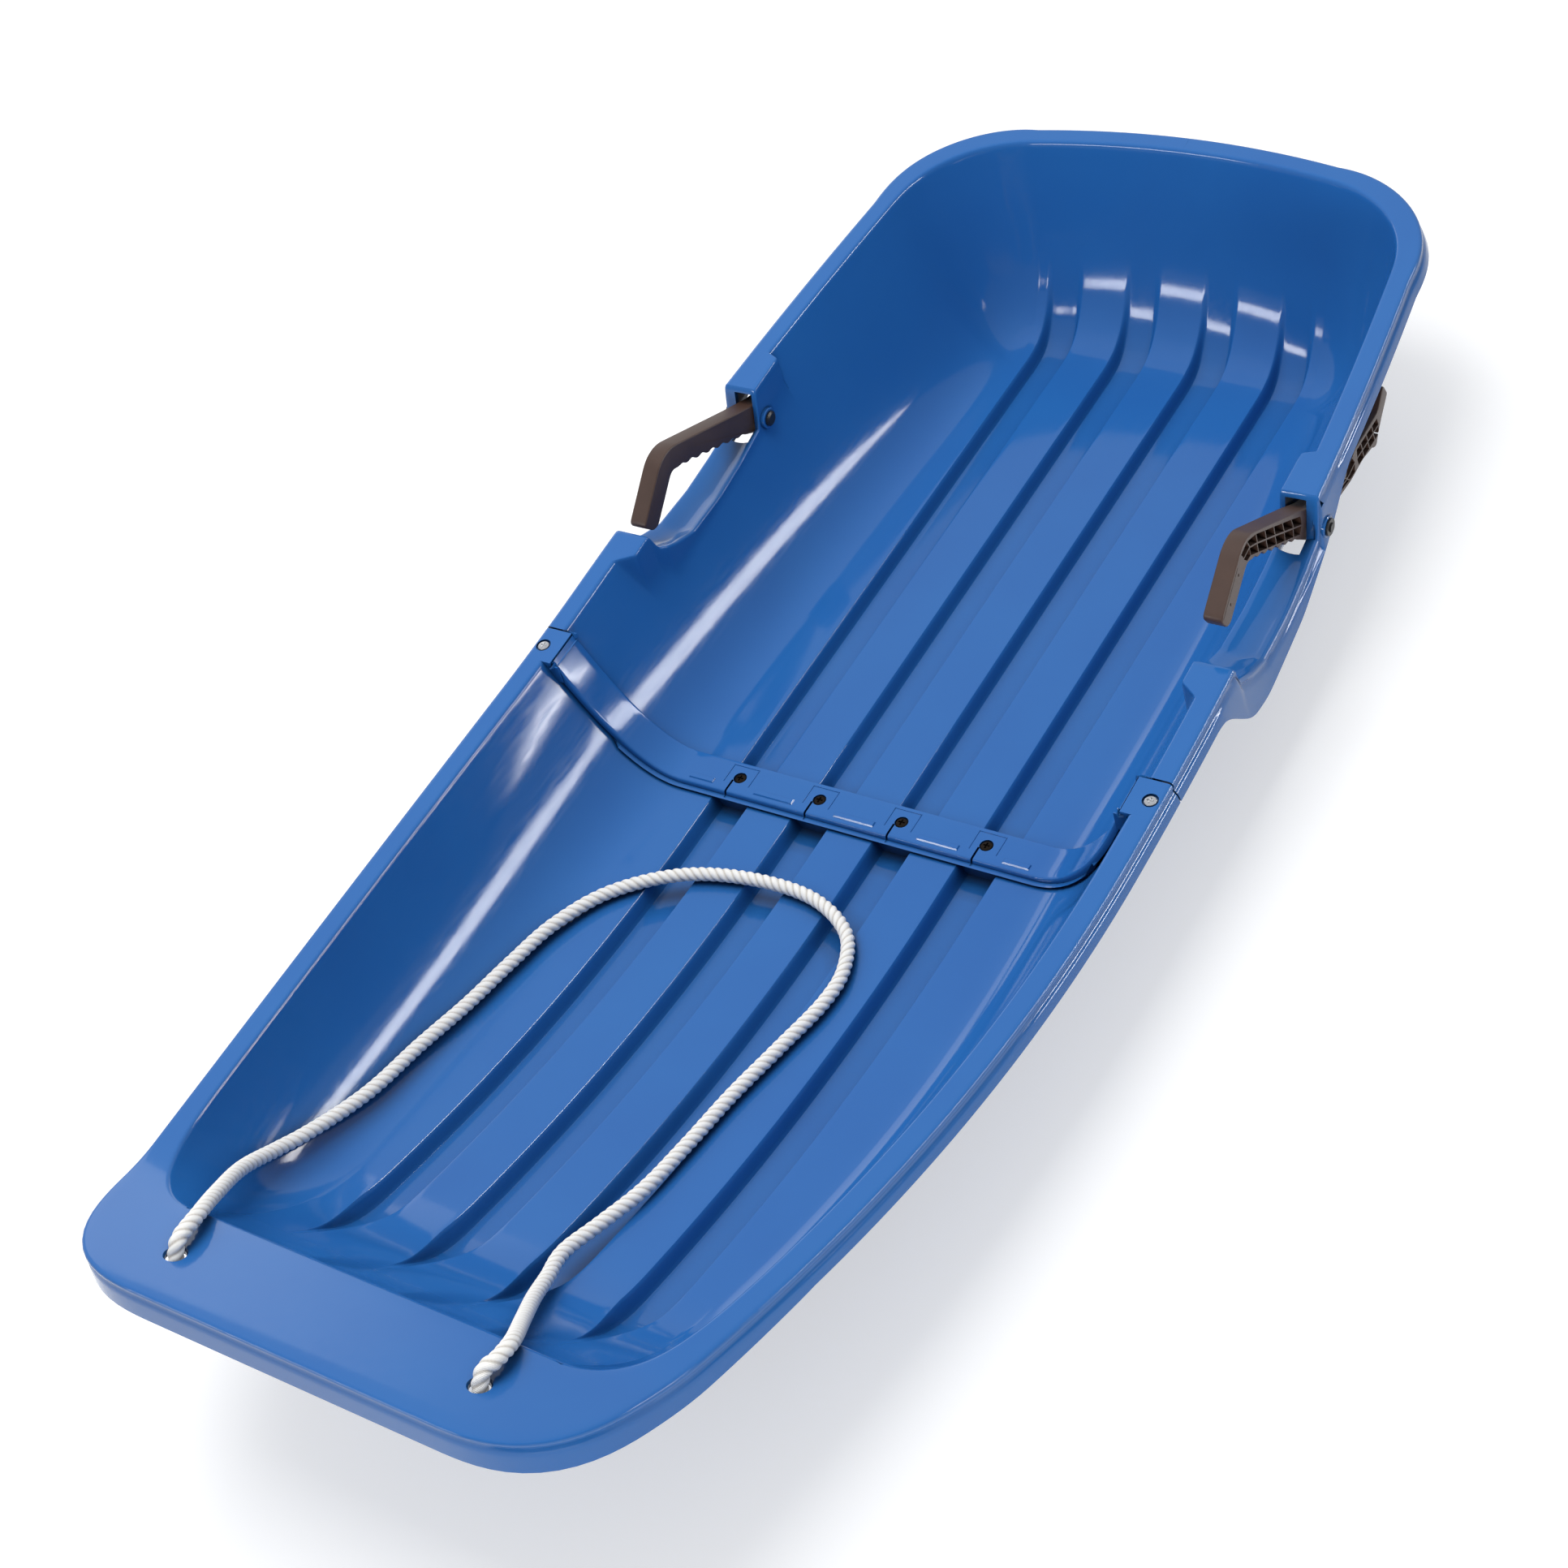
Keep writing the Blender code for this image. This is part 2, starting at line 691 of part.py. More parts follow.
def build_rear_shell(parts, cutters, look):
    mesh = bmesh.new()
    # seam band: lip, top and the step down to the rear floor
    band = [lip_row(-band_front)]
    tops = (step_run - band_front, band_rear)
    band += [band_row(along, band_height, band_wall_height) for along in tops]
    start = band_rear + step_run
    rows = [floor_row(rear_tub, start, 0)[:-1] + rear_side_row(start)]
    cutout_rear = cutout_front + cutout_length
    housing_rear = cutout_rear + housing_length
    plain = [start + channel_draft, straight_length, block_start, block_full, cutout_front]
    rows += [floor_row(rear_tub, y, channel_depth)[:-1] + rear_side_row(y) for y in plain]
    for share, _ in cutout_shares[1:]:
        y = cutout_front + cutout_length * share
        rows.append(floor_row(rear_tub, y, channel_depth)[:-1] + rear_side_row(y, cutout_level(y)))
    behind = housing_rear + housing_end_run
    plain = [cutout_rear, housing_rear, behind]
    reach = (rear_tub.pole - behind) / rear_row_count
    plain += [behind + reach * step for step in range(1, rear_row_count + 1)]
    rows += [floor_row(rear_tub, y, channel_depth)[:-1] + rear_side_row(y) for y in plain]
    add_grid(mesh, band + [rows[0][:len(band[-1])]])
    add_grid(mesh, rows)
    add_grid(mesh, end_rows(rear_tub, rear_outer_line(), channel_depth, rear_drop))
    item = shell_object("rear_shell", mesh, parts, look)

    # ledges, bosses under the band and beside the lever, then holes, recesses and the lever's slot
    for side in (-1, 1):
        add_ledge(item, side, cutters)
        for index in range(channel_pair_count):
            x = side * channel_pitch * (index + 0.5)
            low = floor_step + fit_gap
            high = band_height - wall / 2
            boss = cutter_rod("band_boss", (x, 0, (low + high) / 2), boss_radius, high - low, upright,
                              cutters)
            boolean(item, boss, "UNION")
        outer, inner = pivot_face_x(), lever_x() + lever_width / 2 + fit_gap
        middle = side * (inner + outer) / 2
        boss = cutter_rod("pivot_boss", (middle, pivot_along, pivot_level), pivot_boss_radius, outer - inner,
                          crosswise, cutters)
        boolean(item, boss, "UNION")
        outer, inner = cheek_inner + wall / 2, pin_seat_x()
        middle = side * (inner + outer) / 2
        collar = cutter_rod("pin_collar", (middle, pivot_along, pivot_level), pin_collar_radius,
                            outer - inner, crosswise, cutters)
        boolean(item, collar, "UNION")
    for side in (-1, 1):
        for index in range(channel_pair_count):
            x = side * channel_pitch * (index + 0.5)
            recess = cutter_rod("floor_recess", (x, 0, band_height), floor_recess_radius,
                                2 * floor_recess_depth, upright, cutters)
            boolean(item, recess, "DIFFERENCE")
            hole = cutter_rod("floor_hole", (x, 0, band_height / 2), floor_screw_radius + fit_gap,
                              band_height + 2 * overrun, upright, cutters)
            boolean(item, hole, "DIFFERENCE")
        hole = cutter_rod("rim_hole", (side * rim_screw_x, rim_screw_along, rim_height(rim_screw_along)),
                          rim_screw_radius + fit_gap, 2 * overrun, upright, cutters)
        boolean(item, hole, "DIFFERENCE")
        hole = cutter_rod("pin_hole", (side * lever_x(), pivot_along, pivot_level), pin_radius + fit_gap,
                          2 * (pivot_face_x() - cheek_inner), crosswise, cutters)
        boolean(item, hole, "DIFFERENCE")
        reach = lever_width / 2 + slot_side_gap
        low = (side * lever_x() - reach, pivot_along - slot_forward, pivot_level - slot_below_pivot)
        slot_top = rim_height(cutout_rear) - slot_top_drop
        high = (side * lever_x() + reach, pivot_along + slot_rearward, slot_top)
        boolean(item, cutter_box("slot", low, high, cutters), "DIFFERENCE")
        near, far = sorted((side * (pivot_face_x() + overrun), side * (pivot_face_x() - overrun)))
        low = (near, pivot_along - vent_size / 2, pivot_level + vent_height)
        high = (far, pivot_along + vent_size / 2, pivot_level + vent_height + vent_size)
        boolean(item, cutter_box("vent", low, high, cutters), "DIFFERENCE")
    return item


def build_front_shell(parts, cutters, look):
    mesh = bmesh.new()
    start = -front_wall_end
    stations = [start, start - step_run, -nose_start]
    reach = front_tub.pole - nose_start
    stations += [-nose_start - reach * step / front_row_count for step in range(1, front_row_count + 1)]
    rows = []
    for index, y in enumerate(stations):
        depth = 0 if index == 0 else front_channel_depth
        rows.append(floor_row(front_tub, y, depth)[:-1] + front_side_row(y))
    add_grid(mesh, list(reversed(rows)))
    # tail under the band, its wall stopping below the rear shell's ledge
    tail = []
    for y in (start, tail_overlap):
        row = floor_row(front_tub, y, 0)[:-1]
        station = front_tub.side_station(y)
        row += [front_tub.point(station, share) for share in ring_shares[:tail_ring_count]]
        tail.append(row)
    add_grid(mesh, tail)
    # tab over the rear shell's ledge, reaching in over the band's top edge
    tab = []
    for y in (start, tab_rear):
        row = front_side_row(y)[len(ring_shares) - 1:]
        inner = (half_width(y) - band_wall_height, y, rim_height(y))
        tab.append([inner] + row)
    add_grid(mesh, tab)
    rows = end_rows(front_tub, front_outer_line(), front_channel_depth, nose_drop)
    add_grid(mesh, rows)
    item = shell_object("front_shell", mesh, parts, look)

    # shoes under the runners, level with the rear runners
    for side in (-1, 1):
        for index in range(channel_pair_count):
            x = side * channel_pitch * (index + 0.5)
            half = channel_width * shoe_width_share / 2
            top = floor_step - front_channel_depth - wall / 2
            low = (x - half, -front_wall_end - step_run - shoe_length, -base_level)
            high = (x + half, -front_wall_end - step_run, top)
            boolean(item, cutter_box("shoe", low, high, cutters), "UNION")
            hole = cutter_rod("floor_hole", (x, 0, band_height / 2), floor_screw_radius + fit_gap,
                              band_height + 2 * overrun, upright, cutters)
            boolean(item, hole, "DIFFERENCE")
        level = rim_height(rim_screw_along)
        recess = cutter_rod("rim_recess", (side * rim_screw_x, rim_screw_along, level), rim_recess_radius,
                            2 * rim_recess_depth, upright, cutters)
        boolean(item, recess, "DIFFERENCE")
        hole = cutter_rod("rim_hole", (side * rim_screw_x, rim_screw_along, level),
                          rim_screw_radius + fit_gap, 2 * overrun, upright, cutters)
        boolean(item, hole, "DIFFERENCE")
        hole = cutter_rod("rope_hole", (side * rope_hole_x, rope_hole_along, rim_height(rope_hole_along)),
                          rope_diameter / 2 + rope_hole_gap, 2 * overrun, deck_normal(), cutters)
        boolean(item, hole, "DIFFERENCE")
    return item


def front_side_row(along):
    station = front_tub.side_station(along)
    row = [front_tub.point(station, share) for share in ring_shares]
    inner = row[-1][0]
    outer = half_width(along) + flange_width
    top = rim_height(along)
    drop = nose_drop((outer, along))
    row.append(((inner + outer) / 2, along, top))
    row.append((outer, along, top))
    row.append((outer + skirt_flare, along, top - drop))
    return row


def deck_normal():
    return Vector((0, deck_slope_share, 1)).normalized()


# Brake levers and their pins


def lever_x():
    return cheek_inner + wall + lever_side_gap + lever_width / 2


def pin_seat_x():
    """Inner face of the collar that the pin's head sits on."""
    return cheek_inner - pin_collar_height


def pivot_face_x():
    """Outer end face of the pivot boss, just proud of the skirt."""
    return half_width(pivot_along) + flange_width + skirt_flare


def lever_outline():
    """Side view of a lever as (forward, up) points, counter-clockwise from the hub's top."""
    points = []
    # top line of the grip: climb, rounded bend, fall
    climb = Vector((math.cos(grip_angle), math.sin(grip_angle)))
    fall = Vector((math.cos(grip_drop_angle), -math.sin(grip_drop_angle)))
    crown = Vector((grip_reach, grip_top + grip_reach * math.tan(grip_angle)))
    turn = grip_angle + grip_drop_angle
    trim = bend_radius * math.tan(turn / 2)
    centre = crown - climb * trim + Vector((climb.y, -climb.x)) * bend_radius
    bend = []
    for step in range(grip_bend_steps + 1):
        angle = math.radians(90) + grip_angle - turn * step / grip_bend_steps
        bend.append((centre, Vector((math.cos(angle), math.sin(angle)))))
    top = [middle + way * bend_radius for middle, way in bend]
    tip = crown + fall * grip_drop_length
    down = Vector((fall.y, -fall.x))
    below = tip + down * grip_end_depth
    points += [tip - fall * grip_end_chamfer / 2, tip + down * grip_end_chamfer / 2]
    points += [below - down * grip_end_chamfer, below - fall * grip_end_chamfer]
    # underside: second leg, inner bend, scallops back to the hub
    under = []
    for step, (middle, way) in enumerate(reversed(bend)):
        depth = grip_end_depth + (grip_depth - grip_end_depth) * step / grip_bend_steps
        under.append(middle + way * (bend_radius - depth))
    start = under[-1]
    back = Vector((hub_radius, grip_top + hub_radius * math.tan(grip_angle)))
    back += Vector((climb.y, -climb.x)) * grip_depth
    for index in range(scallop_count):
        near = start + (back - start) * (index + 0.5) / scallop_count
        far = start + (back - start) * (index + 1) / scallop_count
        under += [near + Vector((-climb.y, climb.x)) * scallop_depth, far]
    points += under
    # hub from below the grip round to the arm, the arm, and the hub's top
    for step in range(hub_under_count):
        angle = -hub_under_angle - hub_under_turn * step
        points.append(Vector((math.cos(angle), math.sin(angle))) * hub_radius)
    points += [Vector((-far, up)) * arm_reach for far, up in reversed(arm_shares)]
    points.append(Vector((-hub_radius * math.sin(grip_angle), hub_radius * math.cos(grip_angle))))
    points += top
    return points


def build_lever(name, side, rest_angle, parts, look):
    """A flat outline with the pin's hole, given its width.

    It leans outwards ahead of the pivot and narrows on its outer side towards the claw.
    """
    curve = bpy.data.curves.new(name, "CURVE")
    curve.dimensions = "2D"
    curve.fill_mode = "BOTH"
    curve.extrude = lever_width / 2
    hole = [Vector((math.cos(angle), math.sin(angle))) * (pin_radius + fit_gap)
            for angle in [math.radians(360) * step / round_sides for step in range(round_sides)]]
    for outline in (lever_outline(), hole):
        spline = curve.splines.new("POLY")
        spline.points.add(len(outline) - 1)
        spline.use_cyclic_u = True
        for point, place_2d in zip(spline.points, outline):
            point.co = (place_2d.x, place_2d.y, 0, 1)
    flat = bpy.data.objects.new(name + "_curve", curve)
    parts.objects.link(flat)
    bpy.context.view_layer.update()
    data = bpy.data.meshes.new_from_object(flat.evaluated_get(bpy.context.evaluated_depsgraph_get()))
    bpy.data.objects.remove(flat, do_unlink=True)
    mesh = bmesh.new()
    mesh.from_mesh(data)
    bmesh.ops.remove_doubles(mesh, verts=mesh.verts, dist=merge_distance)
    taper_start = arm_reach * arm_taper_start_share
    for corner in mesh.verts:
        forward, up, across = corner.co
        if across > 0:
            across -= arm_taper * max(-forward - taper_start, 0) / (arm_reach - taper_start)
        lean = lever_lean_share * max(forward - slot_forward, 0)
        corner.co = Vector((side * (across + lean), -forward, up))
    if mesh.calc_volume(signed=True) < 0:
        bmesh.ops.reverse_faces(mesh, faces=mesh.faces)
    item = link_mesh(name, mesh, parts, look)
    item.location = place(side * lever_x(), pivot_along, pivot_level)
    item.rotation_euler.x = -rest_angle
    return item


def build_pin(name, side, parts, look):
    """Headed pin along X: its head inside the tub, its tail past the skirt's boss."""
    length = pivot_face_x() + fit_gap + retainer_thickness + pin_tail - pin_seat_x()
    top = pin_head_thickness + fit_gap
    profile = [(0, top), (pin_head_radius * pin_head_top_share, top),
               (pin_head_radius, pin_head_thickness * pin_head_side_share + fit_gap),
               (pin_head_radius, fit_gap), (pin_radius, fit_gap), (pin_radius, -length), (0, -length)]
    item = turned(name, profile, parts, look)
    item.location = place(side * pin_seat_x(), pivot_along, pivot_level)
    item.rotation_euler.y = math.radians(-90) * side
    return item


def build_retainer(name, side, parts, look):
    bore = pin_radius + fit_gap
    profile = [(bore, retainer_thickness), (retainer_radius, retainer_thickness), (retainer_radius, 0),
               (bore, 0), (bore, retainer_thickness)]
    item = turned(name, profile, parts, look)
    item.location = place(side * (pivot_face_x() + fit_gap), pivot_along, pivot_level)
    item.rotation_euler.y = math.radians(90) * side
    return item


# Screws, washers and nuts


def build_screw(name, x, along, head_base, head_radius, head_thickness, radius, length, parts, look):
    profile = [(0, head_thickness), (head_radius * screw_head_top_share, head_thickness),
               (head_radius, head_thickness * screw_head_side_share), (head_radius, 0), (radius, 0),
               (radius, -length), (0, -length)]
    item = turned(name, profile, parts, look)
    item.location = place(x, along, head_base)
    return item


def build_ring(name, x, along, top, outer, bore, thickness, parts, look):
    profile = [(bore, 0), (outer, 0), (outer, -thickness), (bore, -thickness), (bore, 0)]
    item = turned(name, profile, parts, look)
    item.location = place(x, along, top)
    return item


def build_nut(name, x, along, top, bore, parts, cutters, look):
    mesh = bmesh.new()
    bmesh.ops.create_cone(mesh, cap_ends=True, segments=nut_side_count, radius1=nut_radius,
                          radius2=nut_radius, depth=nut_thickness)
    item = link_mesh(name, mesh, parts, look)
    item.location = place(x, along, top - nut_thickness / 2)
    hole = cutter_rod(name + "_bore", (x, along, top), bore, 2 * overrun, upright, cutters)
    boolean(item, hole, "DIFFERENCE")
    return item


def build_floor_fixings(parts, cutters, looks):
    screw_count = 2 * channel_pair_count
    for index in range(screw_count):
        x = channel_pitch * (index - (screw_count - 1) / 2)
        number = str(index + 1)
        head_base = band_height - floor_recess_depth + fit_gap
        under = floor_step - wall - fit_gap
        nut_top = under - washer_thickness - fit_gap
        length = head_base - nut_top + nut_thickness + screw_tail
        build_screw("floor_screw_" + number, x, 0, head_base, floor_head_radius, floor_head_thickness,
                    floor_screw_radius, length, parts, looks["bronze"])
        bore = floor_screw_radius + fit_gap
        build_ring("floor_washer_" + number, x, 0, under, washer_radius, bore, washer_thickness, parts,
                   looks["zinc"])
        build_nut("floor_nut_" + number, x, 0, nut_top, bore, parts, cutters, looks["zinc"])


def build_rim_fixings(parts, cutters, looks):
    for side, name in ((-1, "left"), (1, "right")):
        level = rim_height(rim_screw_along)
        head_base = level - rim_recess_depth + fit_gap
        nut_top = ledge_top() - wall - fit_gap
        length = head_base - nut_top + nut_thickness + screw_tail
        build_screw("rim_screw_" + name, side * rim_screw_x, rim_screw_along, head_base, rim_head_radius,
                    rim_head_thickness, rim_screw_radius, length, parts, looks["silver"])
        bore = rim_screw_radius + fit_gap
        build_nut("rim_nut_" + name, side * rim_screw_x, rim_screw_along, nut_top, bore, parts, cutters,
                  looks["zinc"])


# Tow rope: route points (x, along, level) on the floor, chosen by hand, from hole to hole
rope_route = (
    (-0.1066, -0.5243, 0.1701), (-0.1110, -0.5130, 0.1785), (-0.1210, -0.4960, 0.1725),
    (-0.1410, -0.4740, 0.1450), (-0.1560, -0.4500, 0.1180), (-0.1609, -0.4216, 0.0997),
    (-0.1629, -0.3897, 0.0843), (-0.1614, -0.3495, 0.0653), (-0.1590, -0.2996, 0.0464),
    (-0.1554, -0.2448, 0.0308), (-0.1527, -0.1998, 0.0228), (-0.1457, -0.1619, 0.0170),
    (-0.1270, -0.1229, 0.0127), (-0.0900, -0.0930, 0.0111), (-0.0430, -0.0800, 0.0107),
    (0.0059, -0.0805, 0.0107), (0.0400, -0.0980, 0.0111), (0.0560, -0.1260, 0.0129),
    (0.0585, -0.1560, 0.0152), (0.0540, -0.1959, 0.0197), (0.0480, -0.2419, 0.0263),
    (0.0460, -0.2860, 0.0343), (0.0450, -0.3290, 0.0440), (0.0420, -0.3700, 0.0545),
    (0.0440, -0.4080, 0.0685), (0.0590, -0.4389, 0.0909), (0.0770, -0.4623, 0.1194),
    (0.0930, -0.4828, 0.1537), (0.1050, -0.5010, 0.1760), (0.1075, -0.5130, 0.1785),
    (0.1066, -0.5243, 0.1701))


def rope_ends():
    """Where the rope stops below each deck hole, on the hole's axis, over its knot."""
    reach = wall + fit_gap + rope_diameter / 2
    ends = []
    for side in (-1, 1):
        top = Vector((side * rope_hole_x, rope_hole_along, rim_height(rope_hole_along)))
        ends.append(top - deck_normal() * reach)
    return ends


def reading_places(total):
    """Lengths along the rope at which it gets a point, a diameter apart near the deck's edge."""
    close = [rope_diameter * index for index in range(rope_close_count)]
    start = rope_diameter * rope_close_count
    span = total - 2 * start
    count = round(span / (rope_diameter * rope_step_share))
    middle = [start + span * index / count for index in range(count + 1)]
    return close + middle + [total - length for length in reversed(close)]


def smooth_route(points):
    """Points read off a Catmull-Rom curve through the route, and the curve's length."""
    fine = []
    padded = [points[0] * 2 - points[1]] + points + [points[-1] * 2 - points[-2]]
    for index in range(1, len(padded) - 2):
        a, b, c, d = padded[index - 1:index + 3]
        for step in range(curve_steps):
            t = step / curve_steps
            fine.append((b * 2 + (c - a) * t + (a * 2 - b * 5 + c * 4 - d) * t * t
                         + (b * 3 - a - c * 3 + d) * t * t * t) / 2)
    fine.append(points[-1])
    lengths = [0]
    for near, far in zip(fine, fine[1:]):
        lengths.append(lengths[-1] + (far - near).length)
    found = []
    segment = 0
    for goal in reading_places(lengths[-1]):
        while segment < len(fine) - 2 and lengths[segment + 1] < goal:
            segment += 1
        share = (goal - lengths[segment]) / (lengths[segment + 1] - lengths[segment])
        found.append(fine[segment].lerp(fine[segment + 1], share))
    return found, lengths[-1]


def build_rope(parts, look):
    left, right = rope_ends()
    route = [left] + [Vector(point) for point in rope_route] + [right]
    points, length = smooth_route(route)
    print("tow rope runs", round(length, 4), "m between its knots")
    curve = bpy.data.curves.new("tow_rope", "CURVE")
    curve.dimensions = "3D"
    curve.bevel_depth = rope_diameter / 2
    curve.bevel_resolution = rope_bevel_count
    curve.use_fill_caps = True
    spline = curve.splines.new("POLY")
    spline.points.add(len(points) - 1)
    for point, spot in zip(spline.points, points):
        point.co = (*place(*spot), 1)
    curve.materials.append(look)
    item = bpy.data.objects.new("tow_rope", curve)
    parts.objects.link(item)
    return item


def build_knot(name, side, parts, look):
    """A pulled-down stopper knot as a squashed ball with a flat seat towards the rope's end."""
    mesh = bmesh.new()
    bmesh.ops.create_uvsphere(mesh, u_segments=knot_sides, v_segments=knot_rings, radius=knot_radius)
    flat = knot_height / 2
    for corner in mesh.verts:
        corner.co.z = min(max(corner.co.z, -flat), flat)
    bmesh.ops.remove_doubles(mesh, verts=mesh.verts, dist=merge_distance)
    item = link_mesh(name, mesh, parts, look)
    end = rope_ends()[0 if side < 0 else 1]
    middle = end - deck_normal() * (fit_gap + flat)
    item.location = place(*middle)
    item.rotation_euler = Vector((0, 0, 1)).rotation_difference(deck_normal()).to_euler()
    return item


def build_sled():
    clear_scene()
    parts = collection("toboggan_sled")
    cutters = collection("cutters")
    looks = {
        "blue": material("shell_blue", shell_blue, 0.28, 0),
        "brown": material("lever_brown", lever_brown, 0.55, 0),
        "black": material("pin_black", pin_black, 0.4, 0),
        "bronze": material("screw_bronze", screw_bronze, 0.45, 0.8),
        "silver": material("screw_silver", screw_silver, 0.3, 1),
        "zinc": material("zinc_grey", zinc_grey, 0.4, 1),
        "white": material("rope_white", rope_white, 0.85, 0),
    }
    build_front_shell(parts, cutters, looks["blue"])
    build_rear_shell(parts, cutters, looks["blue"])
    build_lever("brake_lever_left", -1, left_rest_angle, parts, looks["brown"])
    build_lever("brake_lever_right", 1, right_rest_angle, parts, looks["brown"])
    for side, name in ((-1, "left"), (1, "right")):
        build_pin("brake_pin_" + name, side, parts, looks["black"])
        build_retainer("pin_retainer_" + name, side, parts, looks["zinc"])
        build_knot("rope_knot_" + name, side, parts, looks["white"])
    build_floor_fixings(parts, cutters, looks)
    build_rim_fixings(parts, cutters, looks)
    build_rope(parts, looks["white"])


build_sled()
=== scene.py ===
import math

import bmesh
import bpy
import numpy as np
from mathutils import Matrix, Vector


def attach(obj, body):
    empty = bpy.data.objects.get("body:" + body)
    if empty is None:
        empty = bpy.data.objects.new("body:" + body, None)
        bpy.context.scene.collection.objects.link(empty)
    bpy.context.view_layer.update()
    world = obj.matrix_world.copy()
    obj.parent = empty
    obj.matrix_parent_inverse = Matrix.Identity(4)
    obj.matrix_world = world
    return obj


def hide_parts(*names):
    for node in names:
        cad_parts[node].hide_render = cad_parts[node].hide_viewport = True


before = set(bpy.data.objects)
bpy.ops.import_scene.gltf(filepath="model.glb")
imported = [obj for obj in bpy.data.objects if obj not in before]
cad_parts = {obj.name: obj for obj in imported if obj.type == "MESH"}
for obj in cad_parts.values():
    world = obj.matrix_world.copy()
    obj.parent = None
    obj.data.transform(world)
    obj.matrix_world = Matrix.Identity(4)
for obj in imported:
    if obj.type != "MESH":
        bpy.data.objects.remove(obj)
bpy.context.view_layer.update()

# Toboggan sled: two moulded tub shells, brake levers, fixings and a tow rope.
# "Along" is the distance behind the seam's screw line, "level" the height over the rear floor.
print("sled: frame loaded")

seamY = -0.0068
baseLevel = 0.014
deckSlope = 0.435


def toOwn(points):  # tub measurements (x, along, level) to the sled's own frame
    return np.asarray(points, float) + np.array([0.0, seamY, baseLevel])


def smoothShare(t):  # 3t^2 - 2t^3, held at 0 and 1
    t = np.clip(t, 0.0, 1.0)
    return t * t * (3.0 - 2.0 * t)


def softMin(a, b, size):  # the lesser of two values, with a rounded meeting of a given size
    h = np.clip(0.5 + 0.5 * (b - a) / size, 0.0, 1.0)
    return b * (1 - h) + a * h - size * h * (1 - h)


def softTable(table, value, blur):  # straight-line table reading, averaged over a short stretch
    xs, ys = np.array(table, float).T
    spread = np.linspace(-blur, blur, 9)
    return np.mean([np.interp(value + step, xs, ys) for step in spread], axis=0)


def unit(angle):  # flat direction at an angle, or one for each of several
    return np.stack([np.cos(angle), np.sin(angle)], axis=-1)


def acrossOf(step):  # unit vectors at right angles to flat steps
    normal = np.stack([step[:, 1], -step[:, 0]], axis=1)
    return normal / np.linalg.norm(normal, axis=1)[:, None]


def runAlong(line):  # length from the line's start at each of its points
    return np.concatenate([[0], np.cumsum(np.linalg.norm(np.diff(line, axis=0), axis=1))])


def readLine(line, places):  # points of a line at given lengths
    run = runAlong(line)
    return np.stack([np.interp(places, run, values) for values in line.T], axis=1)


def linked(name, data):  # a new object, put into the scene
    item = bpy.data.objects.new(name, data)
    bpy.context.scene.collection.objects.link(item)
    return item


# Camera at the photograph's angle, from mirrored point pairs of the sled
cameraPlan = {
    "spot": (0.8591, -0.9460, 1.3407),
    "right": (0.8383, 0.4921, -0.2347),
    "down": (0.2286, -0.7081, -0.6681),
    "ahead": (-0.4949, 0.5065, -0.7061),
    "lens": 62.92,
    "sensor": 36.0,
}


def makeCamera(plan):
    data = bpy.data.cameras.new("viewCamera")
    data.lens = plan["lens"]
    data.sensor_width = plan["sensor"]
    item = linked("viewCamera", data)
    axes = [Vector(plan["right"]), -Vector(plan["down"]), -Vector(plan["ahead"])]
    item.matrix_world = Matrix.Translation(plan["spot"]) @ Matrix(axes).transposed().to_4x4()
    bpy.context.scene.camera = item


makeCamera(cameraPlan)
print("sled: camera placed")


# Mesh helpers

def gridFaces(rows, columns, closed=False):  # quads of a grid whose rows follow one another
    row, column = np.meshgrid(np.arange(rows - 1), np.arange(columns if closed else columns - 1), indexing="ij")
    near = row * columns + column
    far = near + columns
    step = np.where(column + 1 < columns, 1, 1 - columns)
    return np.stack([near, near + step, far + step, far], axis=-1).reshape(-1, 4)


def tubeFaces(rings, sides):  # walls and both ends of a stack of rings
    walls = gridFaces(rings, sides, closed=True).tolist()
    return walls + [list(range(sides))[::-1], list(range((rings - 1) * sides, rings * sides))]


def prismFaces(sides):  # both ends and the walls of two rings
    ring = list(range(sides))
    return [ring, [i + sides for i in ring]] + [[i, (i + 1) % sides, (i + 1) % sides + sides, i + sides] for i in ring]


def joined(parts):  # points and faces of several parts as one
    points, faces, start = [], [], 0
    for partPoints, partFaces in parts:
        points.append(np.asarray(partPoints, float))
        faces += [[index + start for index in face] for face in partFaces]
        start += len(partPoints)
    return np.concatenate(points), faces


def reworked(data, *steps):  # the mesh after its editing steps
    work = bmesh.new()
    work.from_mesh(data)
    for step in steps:
        step(work)
    work.to_mesh(data)
    work.free()
    return data


def facesOut(work):
    bmesh.ops.recalc_face_normals(work, faces=work.faces)


def facesUp(work):  # an open sheet turned over if it looks down on the whole
    if sum(face.normal.z * face.calc_area() for face in work.faces) < 0:
        bmesh.ops.reverse_faces(work, faces=work.faces)


def meshFrom(name, points, faces, weld=0.00002):
    data = bpy.data.meshes.new(name)
    data.from_pydata(np.asarray(points).tolist(), [], [list(face) for face in faces])

    def welded(work):
        bmesh.ops.remove_doubles(work, verts=work.verts, dist=weld)
        bmesh.ops.dissolve_degenerate(work, edges=work.edges, dist=weld)

    return reworked(data, welded, facesOut)


def smoothed(data, sharpAngle):  # smooth shading, with sharp edges past an angle in degrees
    data.shade_smooth()
    data.set_sharp_from_angle(angle=math.radians(sharpAngle))
    return data


def addPiece(name, data, material, body, replaced):
    item = linked(name, data)
    data.materials.clear()
    data.materials.append(material)
    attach(item, body)
    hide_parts(replaced)
    return item


